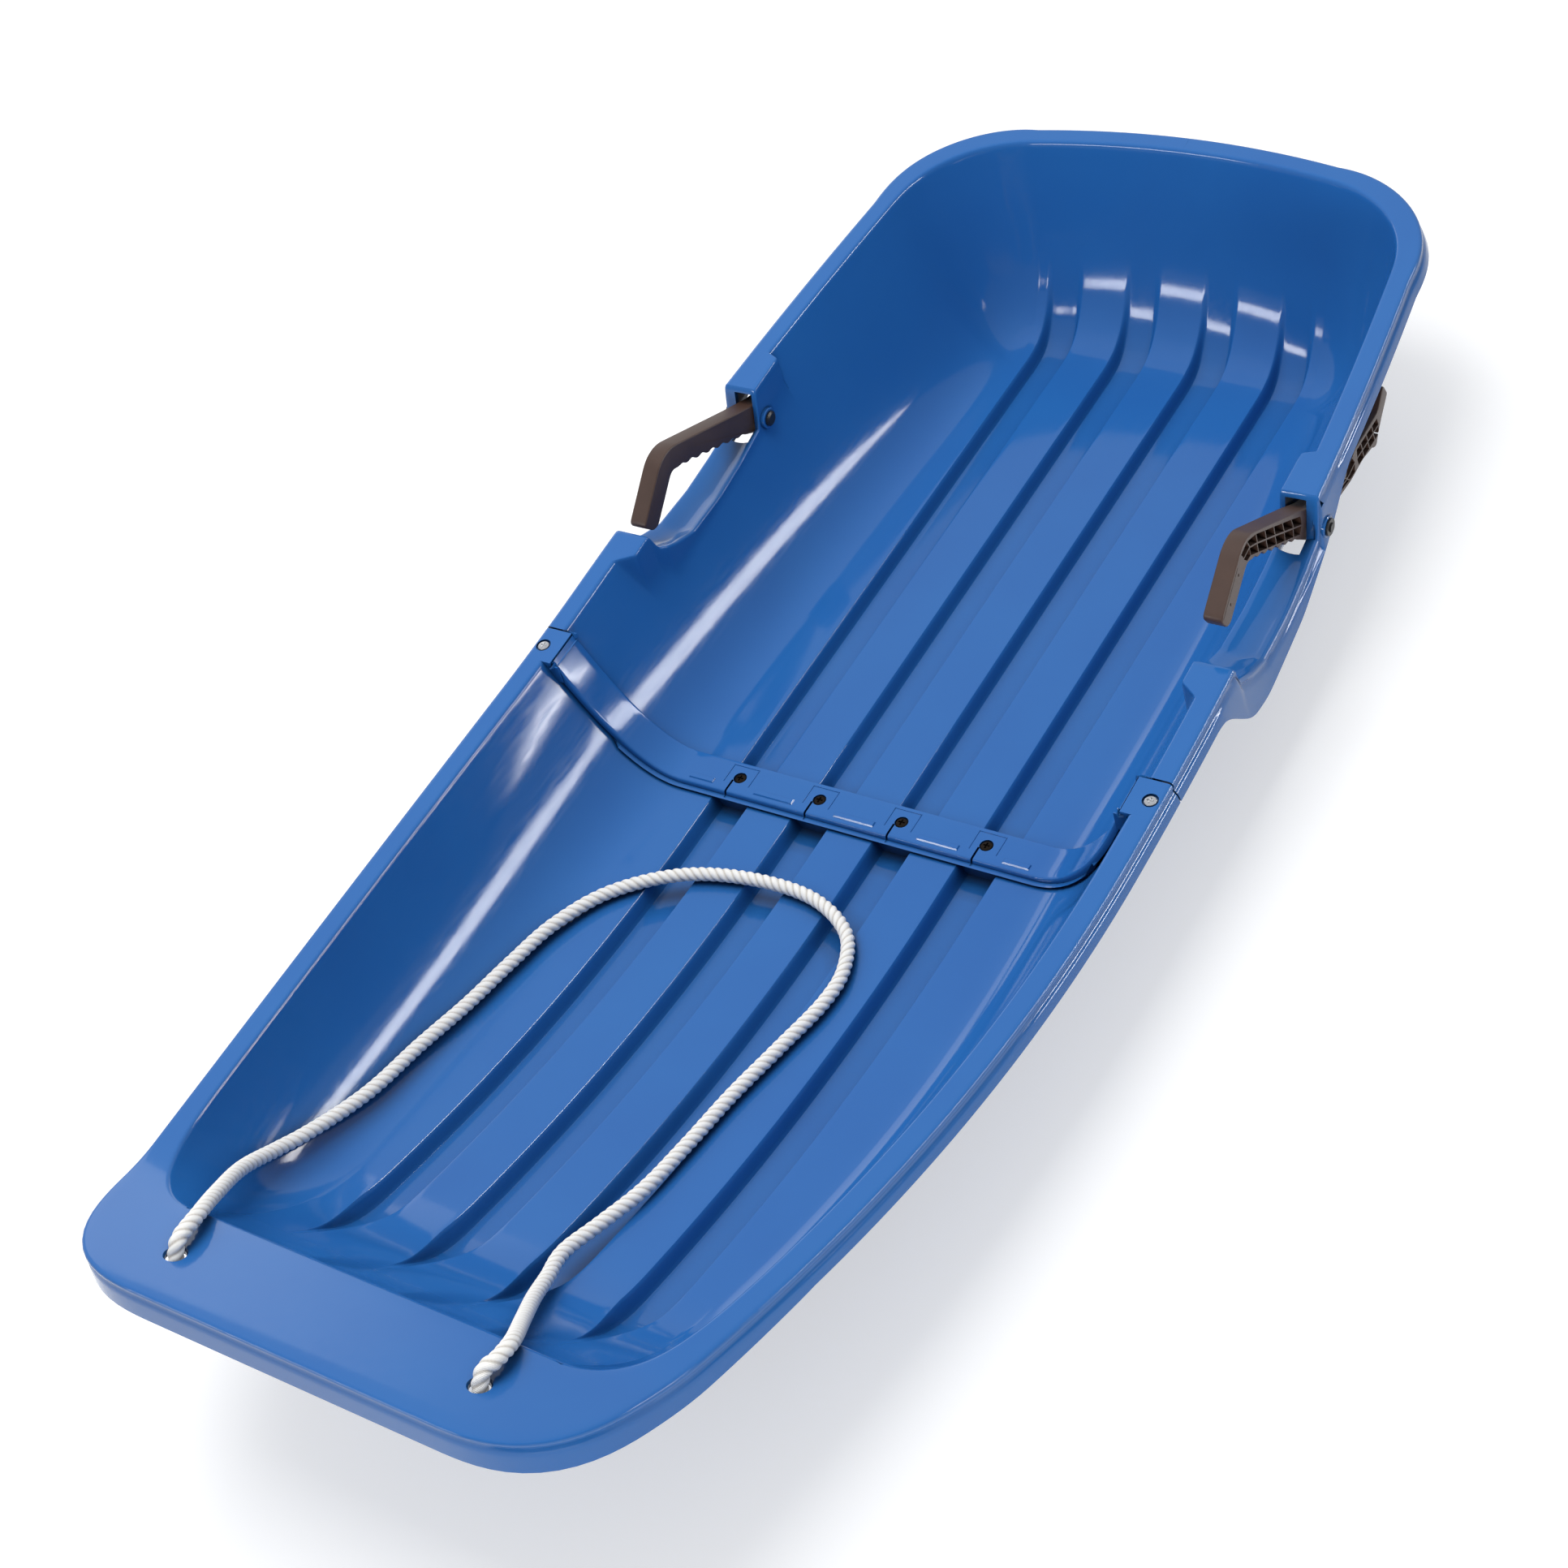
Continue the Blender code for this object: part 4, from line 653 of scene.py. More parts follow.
def sideGrid(end, along, depth, cutOut=False):
    # Side rows: floor(x) then x = half width - run (1 - q) and level = floor + rise q^power up the wall
    run = wallRun(end, along)
    edge = halfWidth(along) - run
    base = floorLevel(end, along)
    floorX = floorColumns(edge)
    floorPoints = rowGrid(floorX, along, base[:, None] - depth[:, None] * channelShare(floorX))
    rim = rimHeight(along)
    noLimit = 1.0
    top, limit = rim, np.full_like(along, noLimit)
    dip, drop = np.zeros_like(along), np.full_like(along, tub["skirtDrop"])
    if cutOut:
        share = (along - housing["cutFront"]) / housing["cutLength"]
        cut = rimAt(housing["cutFront"]) - housing["cutDepth"] * softTable(housing["levels"], share, housing["blur"])
        rearShare = np.clip((share - housing["rearFrom"]) / (1 - housing["rearFrom"]), 0, 1)
        past = np.clip((rearShare - housing["rearEdge"]) / (1 - housing["rearEdge"]), 0, 1)
        cut = cut + (rim - cut) * np.clip((rearShare - 0.07 * past ** 2) / 0.93, 0, 1)
        top = np.where((share > -housing["blur"]) & (share < 1), np.minimum(cut, rim), rim)
        dip = housing["dip"] * smoothShare((rim - top) / housing["dipOver"])
        blur = housing["limitBlur"]
        limited = (along > housing["limits"][0][0] - blur) & (along < housing["limits"][-1][0] + blur)
        limit = np.where(limited, softTable(housing["limits"], along, blur), noLimit)
        deep = softTable(housing["skirts"], share, housing["skirtBlur"])
        drop = drop + housing["deepSkirt"] * deep - (rim - top)
    topShare = ((top - base) / (rim - base)) ** (1 / tub["sidePower"])
    q = np.concatenate([wallShares, [1.0]])[None, :] * topShare[:, None]
    x = (halfWidth(along) - run)[:, None] + run[:, None] * q
    x = np.where(limit[:, None] < noLimit, softMin(x, limit[:, None], housing["limitBlend"]), x)
    z = base[:, None] + (rim - base)[:, None] * q ** tub["sidePower"]
    wall = rowGrid(x, along, z)
    outer = np.stack([halfWidth(along) + tub["flange"], along, top], axis=1)
    if end["way"] < 0:
        drop = noseDrop(outer)
    way = np.tile([1.0, 0.0], (len(along), 1))
    return np.concatenate([floorPoints, rimAndSkirt(wall[:, :-1], wall[:, -1], outer, way, drop, dip)], axis=1)


def noseDrop(outer):
    share = (-outer[:, 1] - front["pole"]) / (front["end"] + front["deck"] - front["pole"])
    return tub["skirtDrop"] + (tub["noseDrop"] - tub["skirtDrop"]) * np.clip(share, 0, 1)


def superPlace(angle, power):  # place on a superellipse at a polar angle
    size = (np.cos(angle) ** power + np.sin(angle) ** power) ** (1 / power)
    return np.cos(angle) / size, np.sin(angle) / size


def planNormals(line):  # plan normals of a line that goes from the side round to the centre plane
    normal = acrossOf(np.gradient(line, axis=0))
    normal *= np.sign(np.sum(normal * line, axis=1))[:, None]
    normal[0] = (1, 0)
    return normal


def endGrids(end, turns=34):
    # Corner fan and end columns: y = pole + end q (end line - pole), x from the side share, level as on the sides
    way, pole = end["way"], end["pole"]
    q = np.concatenate([[0.0], wallShares, [1.0]])[None, :]
    start = np.array([way * pole])
    edge = (halfWidth(start) - wallRun(end, start))[0]
    angle = np.linspace(0, np.pi / 2, turns + 1)
    side, ahead = superPlace(angle, end["corner"])
    side[-1], ahead[0] = 0.0, 0.0
    columns = floorColumns(edge)[0][::-1][1:]
    fade = 1 - smoothShare((q - tub["fadeStart"]) / (tub["fadeEnd"] - tub["fadeStart"]))
    spread = np.ones_like(fade) if way > 0 else tub["tipShare"] + (1 - tub["tipShare"]) * fade
    y = np.full((len(side), q.shape[1]), way * pole)
    for _ in range(14):
        run = wallRun(end, y)
        lean = (1 - side[:, None]) ** 3 * (edge - (halfWidth(y) - run))
        x = halfWidth(y) - run * (1 - side[:, None] * q) + lean
        y = way * pole + way * ahead[:, None] * q * (endLine(end, x) - pole)
    half = tub["channelWidth"] / 2 + tub["channelEdge"]
    centre = np.where(columns < tub["pitch"], tub["pitch"] * 0.5, tub["pitch"] * 1.5)[:, None]
    off = columns[:, None] - centre
    room = np.where(off > 0, np.where(centre > tub["pitch"], edge - centre, tub["pitch"] / 2), tub["pitch"] / 2)
    near = np.abs(off) * spread
    far = half * spread + (np.abs(off) - half) * (room - half * spread) / (room - half)
    shifted = centre + np.sign(off) * np.where(np.abs(off) <= half, near, far)
    yEnd = way * pole + way * q * (endLine(end, shifted) - pole)
    allX, allY = np.concatenate([x, shifted]), np.concatenate([y, yEnd])
    turn = np.concatenate([angle / (np.pi / 2), np.ones(len(columns))])[:, None]
    power = tub["sidePower"] + (end["power"] - tub["sidePower"]) * turn
    topY = allY[:, -1:]
    base = floorLevel(end, topY)
    level = floorLevel(end, allY) + (rimHeight(topY) - base) * q ** power
    depth = np.concatenate([np.zeros(len(side)), channelShare(columns)])[:, None] * fade * end["depth"]
    slopeY, slopeZ = np.gradient(allY, axis=1), np.gradient(level, axis=1)
    size = np.hypot(slopeY, slopeZ) + 1e-12
    tilt = smoothShare(q / tub["tiltShare"])
    sunkY = allY + way * depth * tilt * np.abs(slopeZ) / size
    sunkZ = level - depth * (1 - tilt + tilt * np.abs(slopeY) / size)
    points = np.stack([allX, sunkY, sunkZ], axis=-1)
    corner = points[:, -1]
    if way > 0:
        normal = planNormals(corner[:, :2])
        reach = tub["flange"] * (1 + tub["cornerFlange"] * np.sin(np.pi * turn[:, 0]))
        plan = corner[:, :2] + normal * reach[:, None]
        plan[0] = (halfWidth(start)[0] + tub["flange"], pole)
    else:
        share = angle / (np.pi / 2)
        frontLine = end["end"] + end["deck"]
        cornerPole = frontLine - end["deckCorner"]
        cornerSide, cornerEnd = superPlace(np.pi / 2 * np.clip(share * 2 - 1, 0, 1), end["deckPower"])
        cornerSide[-1] = 0.0
        outY = -(pole + (cornerPole - pole) * np.clip(share * 2, 0, 1) + end["deckCorner"]
                 * np.where(share > 0.5, cornerEnd, 0))
        outX = halfWidth(outY) + tub["flange"] - end["deckCorner"] * (1 - np.where(share > 0.5, cornerSide, 1))
        plan = np.concatenate([np.stack([outX, outY], axis=1), np.stack(
            [columns * outX[-1] / edge, np.full(len(columns), -frontLine)], axis=1)])
    outer = np.concatenate([plan, rimHeight(plan[:, 1])[:, None]], axis=1)
    normal = planNormals(plan)
    normal[-1] = (0, way)
    drop = np.full(len(plan), tub["skirtDrop"]) if way > 0 else noseDrop(outer)
    skin = rimAndSkirt(points[:, 1:-1], corner, outer, normal, drop, np.zeros(len(plan)))
    return np.concatenate([points[:, :1], skin], axis=1)


def shellMesh(name, grids):
    # Half sheets joined, mirrored about the centre plane, welded and given their wall on the lower side
    half, quads = joined([(toOwn(grid).reshape(-1, 3), gridFaces(*grid.shape[:2])) for grid in grids])
    both = joined([(half, quads), (half * np.array([-1.0, 1.0, 1.0]), [face[::-1] for face in quads])])
    item = linked(name, reworked(meshFrom(name, *both), facesUp))
    solid = item.modifiers.new("Wall", "SOLIDIFY")
    solid.thickness = tub["wall"]
    solid.offset = -1
    solid.use_quality_normals = True
    applyModifiers(item)
    return item


def finishShell(item, body, replaced, extras):
    # Loose bosses and ledges join the shell's mesh, and the whole gets its smooth shading
    points = np.empty(len(item.data.vertices) * 3)
    item.data.vertices.foreach_get("co", points)
    whole = joined([(points.reshape(-1, 3), [list(polygon.vertices) for polygon in item.data.polygons])] + extras)
    name = item.name
    data = smoothed(meshFrom(name + "Mesh", *whole, weld=0.000004), 38)
    bpy.data.objects.remove(item, do_unlink=True)
    return addPiece(name, data, shellLook, body, replaced)


def frontShell():
    along = np.concatenate([[-0.0158, -0.0172, -0.02, -0.025, -0.03, -0.038],
                            np.linspace(-front["floorBend"], -front["pole"], 58)])
    body = sideGrid(front, along[::-1], np.full(len(along), front["depth"]))
    # Tail below the band: the channels end under its lip, and a short strip goes up to the tab
    tailRows = np.array([-0.0158, -0.0152, -0.0147, -0.0141, -0.0137, 0.0098])
    tailTop = floorCount + bandSizes["tailWall"]
    whole = sideGrid(front, tailRows, np.array([1, 1, 1, 1, 0, 0]) * front["depth"])
    tail, strip = whole[:, :tailTop], whole[:3, tailTop - 1:tailTop + 2]
    # Tab over the rear shell's ledge
    tabRows = np.array([-0.0158, -0.0152, -0.01, -0.004, 0.002, 0.008, bandSizes["tabRear"]])
    whole = sideGrid(front, tabRows, np.zeros(len(tabRows)))
    inner = np.stack([halfWidth(tabRows) - bandSizes["wallRise"], tabRows, rimHeight(tabRows)], axis=1)
    tab = np.concatenate([inner[:, None, :], whole[:, floorCount + len(wallShares) + 4:]], axis=1)
    item = shellMesh("frontShell", [body, tail, strip, tab, endGrids(front)])
    cutters = []
    for side in (-1, 1):
        for (x, y), profile, axis, sides in ((bores["deckHole"], bores["deckProfile"], deckUp, 40),
                                             (bores["rimScrew"], bores["rimProfile"], (0, 0, 1), 32)):
            cutters.append(turnedPart(profile, [side * x, y, rimAt(y)], axis, sides))
    cutters += [rodPart([x, 0, 0.005], bores["floorRadius"], 0.02, (0, 0, 1)) for x in screwColumns]
    cutAway(item, cutters)
    shoes = [ledgeBox("shoe", x=x) for x in screwColumns]
    webs = [ledgeBox("web", side, level=rimAt(tabRows[1])) for side in (-1, 1)]
    return finishShell(item, "sled", "front_shell", webs + shoes)


def bandRows():
    # Seam band: the rear face moved along its own normal by the band's rise, its edges rolled over
    rows = [(-0.0145, 0.45), (-0.0143, 0.75), (-0.0139, 0.92), (-0.0132, 0.985), (-0.012, 1), (-0.008, 1),
            (-0.004, 1), (0, 1), (0.004, 1), (0.008, 1), (0.0118, 1), (0.0129, 0.985), (0.0135, 0.92), (0.0139, 0.75),
            (0.014, 0.45)]
    along, lift = np.array(rows).T
    lipAlong = np.array([bandSizes["front"]])
    made = []
    for ys, amounts, end in ((lipAlong, None, front), (along, lift, rear)):
        run = wallRun(end, ys)
        base = floorLevel(end, ys)
        edge = halfWidth(ys) - run
        floorX = floorColumns(edge)
        q = np.concatenate([[0], wallShares])[None, :]
        x = edge[:, None] + run[:, None] * q
        rise = (rimHeight(ys) - base)[:, None]
        z = base[:, None] + rise * q ** tub["sidePower"]
        slope = rise * tub["sidePower"] * q ** (tub["sidePower"] - 1) / run[:, None]
        size = np.hypot(1, slope)
        up = bandSizes["lipGap"]
        floorUp = up
        if amounts is not None:
            up = (bandSizes["rise"] + (bandSizes["wallRise"] - bandSizes["rise"]) * q) * amounts[:, None]
            floorUp = bandSizes["rise"] * amounts[:, None]
        wall = rowGrid(x - up * slope / size, ys, z + up / size)
        floorPoints = rowGrid(floorX, ys, base[:, None] + floorUp)
        top = np.stack([halfWidth(ys) - bandSizes["wallRise"], ys, rimHeight(ys) - bandSizes["topDrop"]], axis=1)
        made.append(np.concatenate([floorPoints, wall[:, 1:], np.repeat(top[:, None, :], 5, axis=1)], axis=1))
    return np.concatenate(made)


def raisedPad(low, high, near, far, rise):
    # Pad on the band's top face, its four sides drawn in as much as it is high
    draw = min(rise, (high - low) / 3, (far - near) / 3)
    points = []
    for inset, level in ((0, bandSizes["rise"] - bandSizes["padSink"]), (draw, bandSizes["rise"] + rise)):
        left, right, ahead, behind = low + inset, high - inset, near + inset, far - inset
        points += [[left, ahead, level], [right, ahead, level], [right, behind, level], [left, behind, level]]
    return toOwn(points), prismFaces(4)


def rearShell():
    along = np.concatenate([[0.0142, 0.0147, 0.0155, 0.0165, 0.0178, 0.019, 0.024, 0.032, 0.041], np.linspace(
        0.05, 0.0795, 7), np.linspace(0.0803, 0.0905, 9), [0.094, 0.099, 0.103, 0.106, 0.1075, 0.1083], np.linspace(
        0.109, 0.1185, 12), np.linspace(0.121, 0.244, 32), np.linspace(0.2455, 0.2565, 12), [0.26, 0.267, 0.275, 0.283],
        np.linspace(0.2892, 0.2978, 8), np.linspace(0.304, rear["pole"], 26)])
    depth = rear["depth"] * smoothShare((along - rear["channelFrom"]) / rear["channelFade"])
    body = sideGrid(rear, along, depth, True)
    band = bandRows()
    joint = np.stack([band[-1], body[0, :band.shape[1]]])
    item = shellMesh("rearShell", [band, joint, body, endGrids(rear)])
    cutters, laterCutters, extras = [], [], []
    for x in screwColumns:
        cutters.append(turnedPart(bores["floorProfile"], [x, 0, bandSizes["rise"]], (0, 0, 1)))
        laterCutters.append(ledgeBox("notch", x=x))
        extras += [raisedPad(x + low, x + high, near, far, ledges["plateRise"])
                   for low, high, near, far in ledges["plateEdges"]]
    extras += [raisedPad(low, high, *ledges["barAlong"], ledges["barRise"]) for low, high in ledges["bars"]]
    skirtX = float(halfWidth(np.array(pivotAlong))) + tub["flange"] + tub["skirtFlare"]
    for side in (-1, 1):
        xs, alongs, bottom, top = ledges["slot"]
        cutters.append(boxPart(np.add(xs, side * leverX), np.add(alongs, pivotAlong),
                               (pivotLevel + bottom, rimAt(ledges["slotRim"]) + top)))
        laterCutters.append(rodPart([side * leverX, pivotAlong, pivotLevel], bores["pinRadius"], 0.06, (1, 0, 0)))
        cutters.append(rodPart([side * skirtX, pivotAlong, pivotLevel + bores["peepRise"]], bores["peepRadius"], 0.016,
                               (1, 0, 0), 3))
        x, y = bores["rimScrew"]
        cutters.append(rodPart([side * x, y, 0.09], bores["rimRadius"], 0.03, (0, 0, 1)))
        extras.append(ledgeBox("ledge", side, level=rimAt(bandSizes["front"])))
        # Collar round the pin's head inside, ring round its end outside
        for x, axis in ((side * bores["collarX"], side), (side * skirtX, -side)):
            points, faces = turnedPart(bores["collar"], [x, pivotAlong, pivotLevel], (axis, 0, 0), 40)
            extras.append((points, faces[:-2]))
    cutAway(item, cutters)
    cutAway(item, laterCutters)
    return finishShell(item, "sled", "rear_shell", extras)


frontItem = frontShell()
print("sled: front shell", len(frontItem.data.polygons), "faces")
rearItem = rearShell()
print("sled: rear shell", len(rearItem.data.polygons), "faces")


# Brake levers

leverSizes = {
    "width": 0.0135,
    "edge": 0.0011,
    "lean": 0.042,
    "leanFrom": 0.023,
    "hub": 0.0118,
    "hubAngles": (-75, -115),
    "gripTop": 0.0103,
    "climb": math.radians(23.65),
    "reach": 0.1045,
    "fall": math.radians(41.5),
    "fallLength": 0.0562,
    "depth": 0.018,
    "endDepth": 0.0163,
    "tipCuts": (0.002, 0.004),
    "bend": 0.024,
    "arm": 0.1426,
    "armTaper": 0.0056,
    "taperFrom": 0.45,
    "cellDepth": 0.0058,
    "rib": 0.0011,
    "bites": 7,
    "biteDepth": 0.0027,
    "cellLean": 0.3,
    # grip: first place, share of the bend at the last, cells, depths; arm: first and last place, cells, lower line
    "gripCells": (0.0135, 0.86, 7, 0.0016, 0.0143),
    "armCells": ((-0.123, -0.078, 4, -0.0038), (-0.074, -0.03, 3, -0.0044)),
    "cellTop": (0.0012, 0.009, 0.055, 0.02),
    "legLine": ((0.02, 0.0017), (0.054, 0.0017), (0.054, 0.0023), (0.02, 0.0023)),
    "legLineDepth": 0.0009,
    "legHoles": ((0.0235, 0.0068), (0.0425, 0.0068)),
    "legHoleDepth": 0.0025,
    "legHoleRadii": (0.0008, 0.0012),
    "pastFace": 0.004,
    "armShares": ((0.2, 0.03), (0.411, 0.02), (0.533, 0.086), (0.663, 0.086), (0.856, 0.094), (0.945, 0.19),
                  (1, 0.121), (0.963, 0.085), (0.908, 0.032), (0.858, -0.027), (0.834, -0.074), (0.799, -0.071),
                  (0.777, -0.053), (0.631, -0.035), (0.491, -0.046)),
}


def leverFrame(size):
    # Directions of the climbing grip and the falling leg, each with the way down from it, their top lines' meeting
    # and the centre of the bend between them
    climb, fall = unit(size["climb"]), unit(-size["fall"])
    climbDown, fallDown = (np.array([way[1], -way[0]]) for way in (climb, fall))
    crown = np.array([size["reach"], size["gripTop"] + size["reach"] * math.tan(size["climb"])])
    turn = size["climb"] + size["fall"]
    centre = crown - climb * size["bend"] * math.tan(turn / 2) + climbDown * size["bend"]
    return climb, climbDown, fall, fallDown, crown, centre, turn


def leverOutline(size):
    # Side view as (forward, up): climbing grip, round bend, falling end, underside, hub and claw arm
    _, climbDown, fall, fallDown, crown, centre, turn = leverFrame(size)
    ways = unit(math.pi / 2 + size["climb"] - turn * np.linspace(0, 1, 14))
    top = centre + ways * size["bend"]
    tip = crown + fall * size["fallLength"]
    below = tip + fallDown * size["endDepth"]
    high, low = size["tipCuts"]
    end = [tip - fall * high, tip + fallDown * high, below - fallDown * low, below - fall * low]
    depth = size["endDepth"] + (size["depth"] - size["endDepth"]) * np.linspace(0, 1, 14)
    under = centre + ways[::-1] * (size["bend"] - depth)[:, None]
    back = np.array([size["hub"], size["gripTop"] + size["hub"] * math.tan(size["climb"])])
    back = back + climbDown * size["depth"]
    share = np.linspace(0, 1, 49)[1:]
    bite = size["biteDepth"] * np.sin(np.pi * share * size["bites"]) ** 2 * smoothShare(share * (1 - share) * 9)
    scallop = under[-1] + (back - under[-1]) * share[:, None] - climbDown * bite[:, None]
    hub = size["hub"] * unit(np.radians(np.linspace(*size["hubAngles"], 7)))
    arm = np.array([(-far, up) for far, up in reversed(size["armShares"])]) * size["arm"]
    over = -size["hub"] * climbDown
    loop = np.concatenate([top, end, under, scallop, hub, arm, [over], top[:1]])
    even = readLine(loop, np.linspace(0, runAlong(loop)[-1], 520, endpoint=False))
    for _ in range(3):
        even = 0.25 * np.roll(even, 1, axis=0) + 0.5 * even + 0.25 * np.roll(even, -1, axis=0)
    return even[::-1]


def leverCells(size):
    # Pockets of the outer side: two rows of leaning four-sided cells parted by a middle rib, on the grip and its bend,
    # then on the arm; a cell's corners are read off an upper and a lower line
    cells = []
    climb, climbDown, _, _, _, centre, turn = leverFrame(size)
    straight = size["reach"] / math.cos(size["climb"]) - size["bend"] * math.tan(turn / 2)
    rib = size["rib"]

    def gripPoint(s, depth):
        if s <= straight:
            return np.array([0, size["gripTop"]]) + climb * s + climbDown * depth
        return centre + unit(math.pi / 2 + size["climb"] - (s - straight) / size["bend"]) * (size["bend"] - depth)

    def armTop(s):
        least, more, start, length = size["cellTop"]
        return np.array([s, least + more * float(smoothShare((-s - start) / length))])

    def strip(first, last, count, topLine, lowLine):
        marks = np.linspace(first, last, count + 1)
        for a, b in zip(marks[:-1] + rib / 2, marks[1:] - rib / 2):
            lean = size["cellLean"] * (b - a)
            middle = [(topLine(t) + lowLine(t)) / 2 for t in (a, b)]
            across = topLine(a) - lowLine(a)
            away = across / np.linalg.norm(across) * rib / 2
            cells.append([topLine(min(a + lean, last)), topLine(min(b + lean, last)), middle[1] + away,
                          middle[0] + away])
            cells.append([middle[0] - away, middle[1] - away, lowLine(max(b - lean, first)),
                          lowLine(max(a - lean, first))])

    first, bendShare, count, high, low = size["gripCells"]
    strip(first, straight + size["bend"] * turn * bendShare, count, lambda s: gripPoint(s, high),
          lambda s: gripPoint(s, low))
    for first, last, count, low in size["armCells"]:
        strip(first, last, count, armTop, lambda s: np.array([s, low]))
    return cells


def legMarks(size):
    # Sunk line and two small round holes on the outer side of the leg, as rings of (forward, up) with a depth
    _, _, fall, fallDown, crown, _, _ = leverFrame(size)
    ring = unit(np.linspace(0, 2 * np.pi, 12, endpoint=False)) * size["legHoleRadii"]
    marks = [([crown + fall * s + fallDown * d for s, d in size["legLine"]], size["legLineDepth"])]
    return marks + [(crown + fall * s + fallDown * d + ring, size["legHoleDepth"]) for s, d in size["legHoles"]]


def leverShape(points, side, rest):
    # Lean ahead of the slot, narrowing of the arm's outer side, then the rest turn and the pivot's place
    forward, up, across = points[:, 0], points[:, 1], points[:, 2]
    start = leverSizes["arm"] * leverSizes["taperFrom"]
    narrow = leverSizes["armTaper"] * np.maximum(-forward - start, 0) / (leverSizes["arm"] - start)
    lean = leverSizes["lean"] * np.maximum(forward - leverSizes["leanFrom"], 0)
    across = np.where(across > 0, across - narrow, across) + lean
    y = -forward * math.cos(rest) + up * math.sin(rest)
    z = forward * math.sin(rest) + up * math.cos(rest)
    return toOwn(np.stack([side * (leverX + across), pivotAlong + y, pivotLevel + z], axis=1))


def makeLever(name, side, rest, body, replaced):
    # Rounded plate: the outline drawn in a little towards both faces, carried across the width
    size = leverSizes
    outline = leverOutline(size)
    normal = acrossOf(np.roll(outline, -1, axis=0) - np.roll(outline, 1, axis=0))
    area = np.sum(outline[:, 0] * np.roll(outline[:, 1], -1) - np.roll(outline[:, 0], -1) * outline[:, 1])
    normal *= np.sign(area)
    half = size["width"] / 2
    inset = size["edge"] * (1 - np.sin(np.linspace(0, math.pi / 2, 5)))
    across = np.sort(np.concatenate([-half + inset, half - inset]))
    draw = np.maximum(np.abs(across) - (half - size["edge"]), 0) / size["edge"]
    draw = size["edge"] * (1 - np.sqrt(1 - np.clip(draw, 0, 1) ** 2))

    def placed(rings):  # (outline, across) pairs carried to the lever's place on the sled
        return leverShape(np.concatenate([np.insert(ring, 2, x, axis=1) for ring, x in rings]), side, rest)

    count = len(outline)
    faces = gridFaces(len(across), count, closed=True).tolist()
    faces += [list(range(count)), list(range((len(across) - 1) * count, len(across) * count))]
    points = placed([(outline - normal * amount, x) for x, amount in zip(across, draw)])
    item = linked(name + "Plate", meshFrom(name, points, faces))

    def pocket(ring, depth):
        return placed([(ring, half - depth), (ring, half + size["pastFace"])]), prismFaces(len(ring))

    cutters = [pocket(cell, size["cellDepth"]) for cell in leverCells(size)]
    cutters.append(rodPart([side * leverX, pivotAlong, pivotLevel], bores["pinRadius"], 0.04, (1, 0, 0)))
    cutters += [pocket(*mark) for mark in legMarks(size)]
    cutAway(item, cutters)
    data = item.data
    bpy.data.objects.remove(item, do_unlink=True)
    return addPiece(name, smoothed(data, 35), leverLook, body, replaced)


makeLever("brakeLeverLeft", -1, 0.0, "left_lever", "brake_lever_left")
makeLever("brakeLeverRight", 1, math.radians(10.2), "right_lever", "brake_lever_right")
print("sled: levers made")


# Screws, and looks of the fixings that stay as the CAD has them

screws = {
    "floor": {"headRadius": 0.0041, "headThick": 0.0022, "shankRadius": 0.002, "shankLength": 0.0132,
              "recess": 0.0012, "seat": 0.0086},
    "rim": {"headRadius": 0.004, "headThick": 0.0016, "shankRadius": 0.0018, "shankLength": 0.0118,
            "recess": 0.0008, "seat": -0.0014},
    "domeShare": 0.45,
    "domePower": 2.4,
    "armHalf": 0.00035,
    "armDraft": 0.00025,
    "armReach": 0.52,
    "endDraft": 0.0004,
}


def screwMesh(name, spot, size):
    # Head height over the plan: a low dome less a cross recess whose arms are half a head radius long
    headRadius, shankRadius, foot = size["headRadius"], size["shankRadius"], -size["shankLength"]
    rings = np.array([0, 0.12, 0.2, 0.28, 0.36, 0.44, 0.52, 0.6, 0.7, 0.8, 0.88, 0.94, 0.98, 1.0])
    angle = np.linspace(0, 2 * np.pi, 64, endpoint=False)
    r, a = np.meshgrid(rings * headRadius, angle, indexing="ij")
    x, y = r * np.cos(a), r * np.sin(a)
    dome = np.sqrt(np.clip(1 - (r / headRadius) ** screws["domePower"], 0, 1))
    dome = size["headThick"] * (1 - screws["domeShare"] * (1 - dome))
    arm = np.minimum(np.abs(x), np.abs(y))
    reach = np.maximum(np.abs(x), np.abs(y))
    cross = 1 - smoothShare((arm - screws["armHalf"]) / screws["armDraft"])
    cross = cross * (1 - smoothShare((reach - headRadius * screws["armReach"]) / screws["endDraft"]))
    head = np.stack([x, y, dome - size["recess"] * cross], axis=-1)
    under = np.array([(headRadius, 0.0), (shankRadius, 0.0), (shankRadius, foot), (0.0001, foot)])
    lower = np.stack([under[:, :1] * np.cos(angle), under[:, :1] * np.sin(angle),
                      np.repeat(under[:, 1:], len(angle), axis=1)], axis=-1)
    points = np.concatenate([head, lower])
    faces = gridFaces(len(points), len(angle), closed=True).tolist()
    faces.append(list(range((len(points) - 1) * len(angle), len(points) * len(angle))))
    return smoothed(meshFrom(name, points.reshape(-1, 3) + toOwn(spot), faces, weld=0.000005), 40)


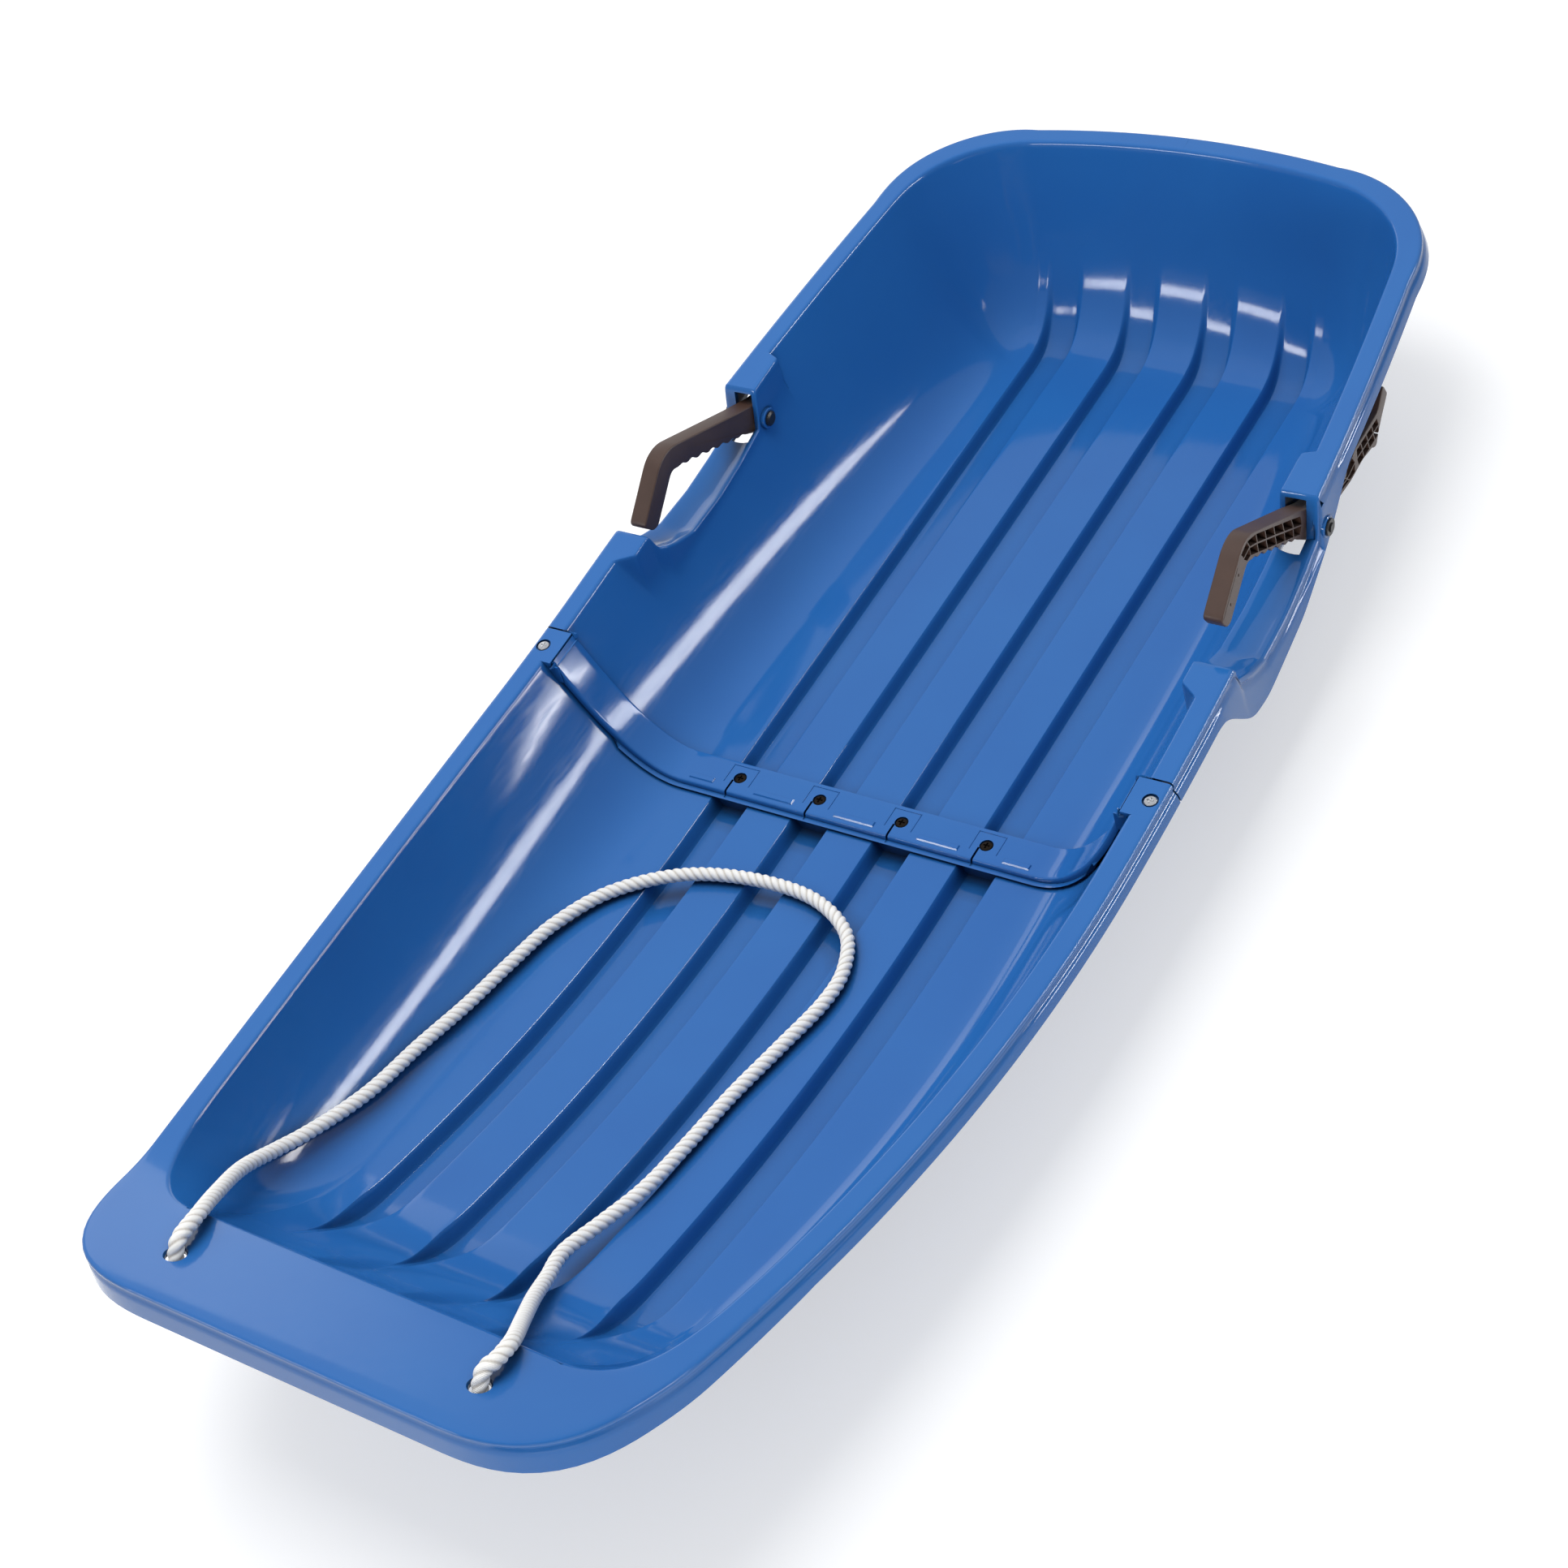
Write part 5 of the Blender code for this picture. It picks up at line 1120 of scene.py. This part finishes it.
for index in range(4):
    name = "floorScrew" + str(index + 1)
    spot = [tub["pitch"] * (index - 1.5), 0, screws["floor"]["seat"]]
    addPiece(name, screwMesh(name, spot, screws["floor"]), floorScrewLook, "sled",
             "floor_screw_" + str(index + 1))
for side, label in ((-1, "left"), (1, "right")):
    name = "rimScrew" + label.title()
    x, y = bores["rimScrew"]
    spot = [side * x, y, rimAt(y) + screws["rim"]["seat"]]
    addPiece(name, screwMesh(name, spot, screws["rim"]), rimScrewLook, "sled", "rim_screw_" + label)
for name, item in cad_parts.items():
    for starts, look in ((("floor_washer", "floor_nut", "rim_nut"), zincLook),
                         (("brake_pin", "pin_retainer"), pinLook)):
        if name.startswith(starts):
            item.data.materials.clear()
            item.data.materials.append(look)
print("sled: fixings made")


# Floor and studio light

studio = {
    "floor": "#C8C8C8",
    "floorWhite": 0.5,
    "skyWay": (-0.5, 0.4, 0.77),
    "skyColour": (0.95, 0.97, 1.0, 1),
    "skyFrom": -0.6,
    "skyDark": 0.16,
    "skyLight": 0.84,
    "centre": (0, 0, 0.06),
    "lamps": {
        # compass angle from the rear towards the right, height angle, distance, width, height, watts
        "roofLamp": (-90, 80, 2.6, 1.6, 1.6, 48),
        "skirtLamp": (140, 7, 2.6, 1.6, 0.5, 26),
        "sideStrip": (59, 18, 2.3, 1.9, 0.25, 22),
        "lowStrip": (56, 3.2, 2.3, 1.1, 0.12, 9),
        "frontStrip": (-155, 17, 2.5, 0.95, 0.24, 10.5),
        "deckCard": (-51, 18, 2.4, 1.2, 0.9, 3.6),
    },
    "cards": ("sideStrip", "lowStrip", "frontStrip", "deckCard"),
    "unseen": ("roofLamp", "skirtLamp"),
    "faded": ("deckCard",),
}


def seenRay(tree):  # 1 for camera, glossy and transmission rays
    path = addNode(tree, "ShaderNodeLightPath")
    clear = addNode(tree, "ShaderNodeMath", {"operation": "MAXIMUM"},
                    {0: path.outputs["Is Glossy Ray"], 1: path.outputs["Is Transmission Ray"]})
    seen = addNode(tree, "ShaderNodeMath", {"operation": "MAXIMUM"},
                   {0: path.outputs["Is Camera Ray"], 1: clear.outputs["Value"]})
    return seen.outputs["Value"]


def paleFloor():
    # Painted board: matt and pale, lifted towards white where it is seen, straight or in a reflection
    made, tree, shader = newMaterial("paintedBoard", {"Base Color": hexLinear(studio["floor"]), "Roughness": 0.9,
                                                      "Specular IOR Level": 0.1, "Emission Color": (1, 1, 1, 1)})
    white = addNode(tree, "ShaderNodeMath", {"operation": "MULTIPLY", 1: studio["floorWhite"]}, {0: seenRay(tree)})
    tree.links.new(white.outputs["Value"], shader.inputs["Emission Strength"])
    data = bpy.data.meshes.new("studioFloor")
    data.from_pydata([(-6, -6, -0.0005), (6, -6, -0.0005), (6, 6, -0.0005), (-6, 6, -0.0005)], [], [(0, 1, 2, 3)])
    data.materials.append(made)
    linked("studioFloor", data)


def softLamp(name, plan):
    compass, height, distance, wide, deep, power = plan
    turn, rise = math.radians(compass), math.radians(height)
    spot = Vector((math.sin(turn) * math.cos(rise), math.cos(turn) * math.cos(rise), math.sin(rise))) * distance
    data = bpy.data.lights.new(name, "AREA")
    data.shape = "RECTANGLE"
    data.size, data.size_y, data.energy = wide, deep, power
    item = linked(name, data)
    item.visible_camera = False
    item.visible_diffuse = name not in studio["cards"]  # a card is there for its reflection alone
    item.visible_glossy = name not in studio["unseen"]
    if name in studio["faded"]:
        # The panel brightens evenly from its edge over the sled's rear to full strength at not quite half its width
        data.use_nodes = True
        tree = data.node_tree
        place = addNode(tree, "ShaderNodeNewGeometry").outputs["Parametric"]
        place = addNode(tree, "ShaderNodeSeparateXYZ", {}, {"Vector": place}).outputs["X"]
        level = addNode(tree, "ShaderNodeMapRange", {"interpolation_type": "SMOOTHSTEP", "From Max": 0.5},
                        {"Value": place})
        tree.links.new(level.outputs["Result"], tree.nodes["Emission"].inputs["Strength"])
    item.location = spot
    item.rotation_euler = (Vector(studio["centre"]) - spot).to_track_quat("-Z", "Y").to_euler()


def worldLight():
    # Studio walls: strength rises evenly from the dark front right to the pale upper left behind the sled
    world = bpy.data.worlds.new("studioWorld")
    bpy.context.scene.world = world
    world.use_nodes = True
    tree = world.node_tree
    light = tree.nodes["Background"]
    light.inputs["Color"].default_value = studio["skyColour"]
    way = addNode(tree, "ShaderNodeTexCoord").outputs["Generated"]
    share = addNode(tree, "ShaderNodeVectorMath", {"operation": "DOT_PRODUCT", 1: studio["skyWay"]}, {0: way})
    level = addNode(tree, "ShaderNodeMapRange", {"From Min": studio["skyFrom"], "To Min": studio["skyDark"],
                                                 "To Max": studio["skyLight"]}, {"Value": share.outputs["Value"]})
    tree.links.new(level.outputs["Result"], light.inputs["Strength"])


paleFloor()
for name, plan in studio["lamps"].items():
    softLamp(name, plan)
worldLight()
bpy.context.scene.view_settings.view_transform = "Standard"
print("sled: studio made")
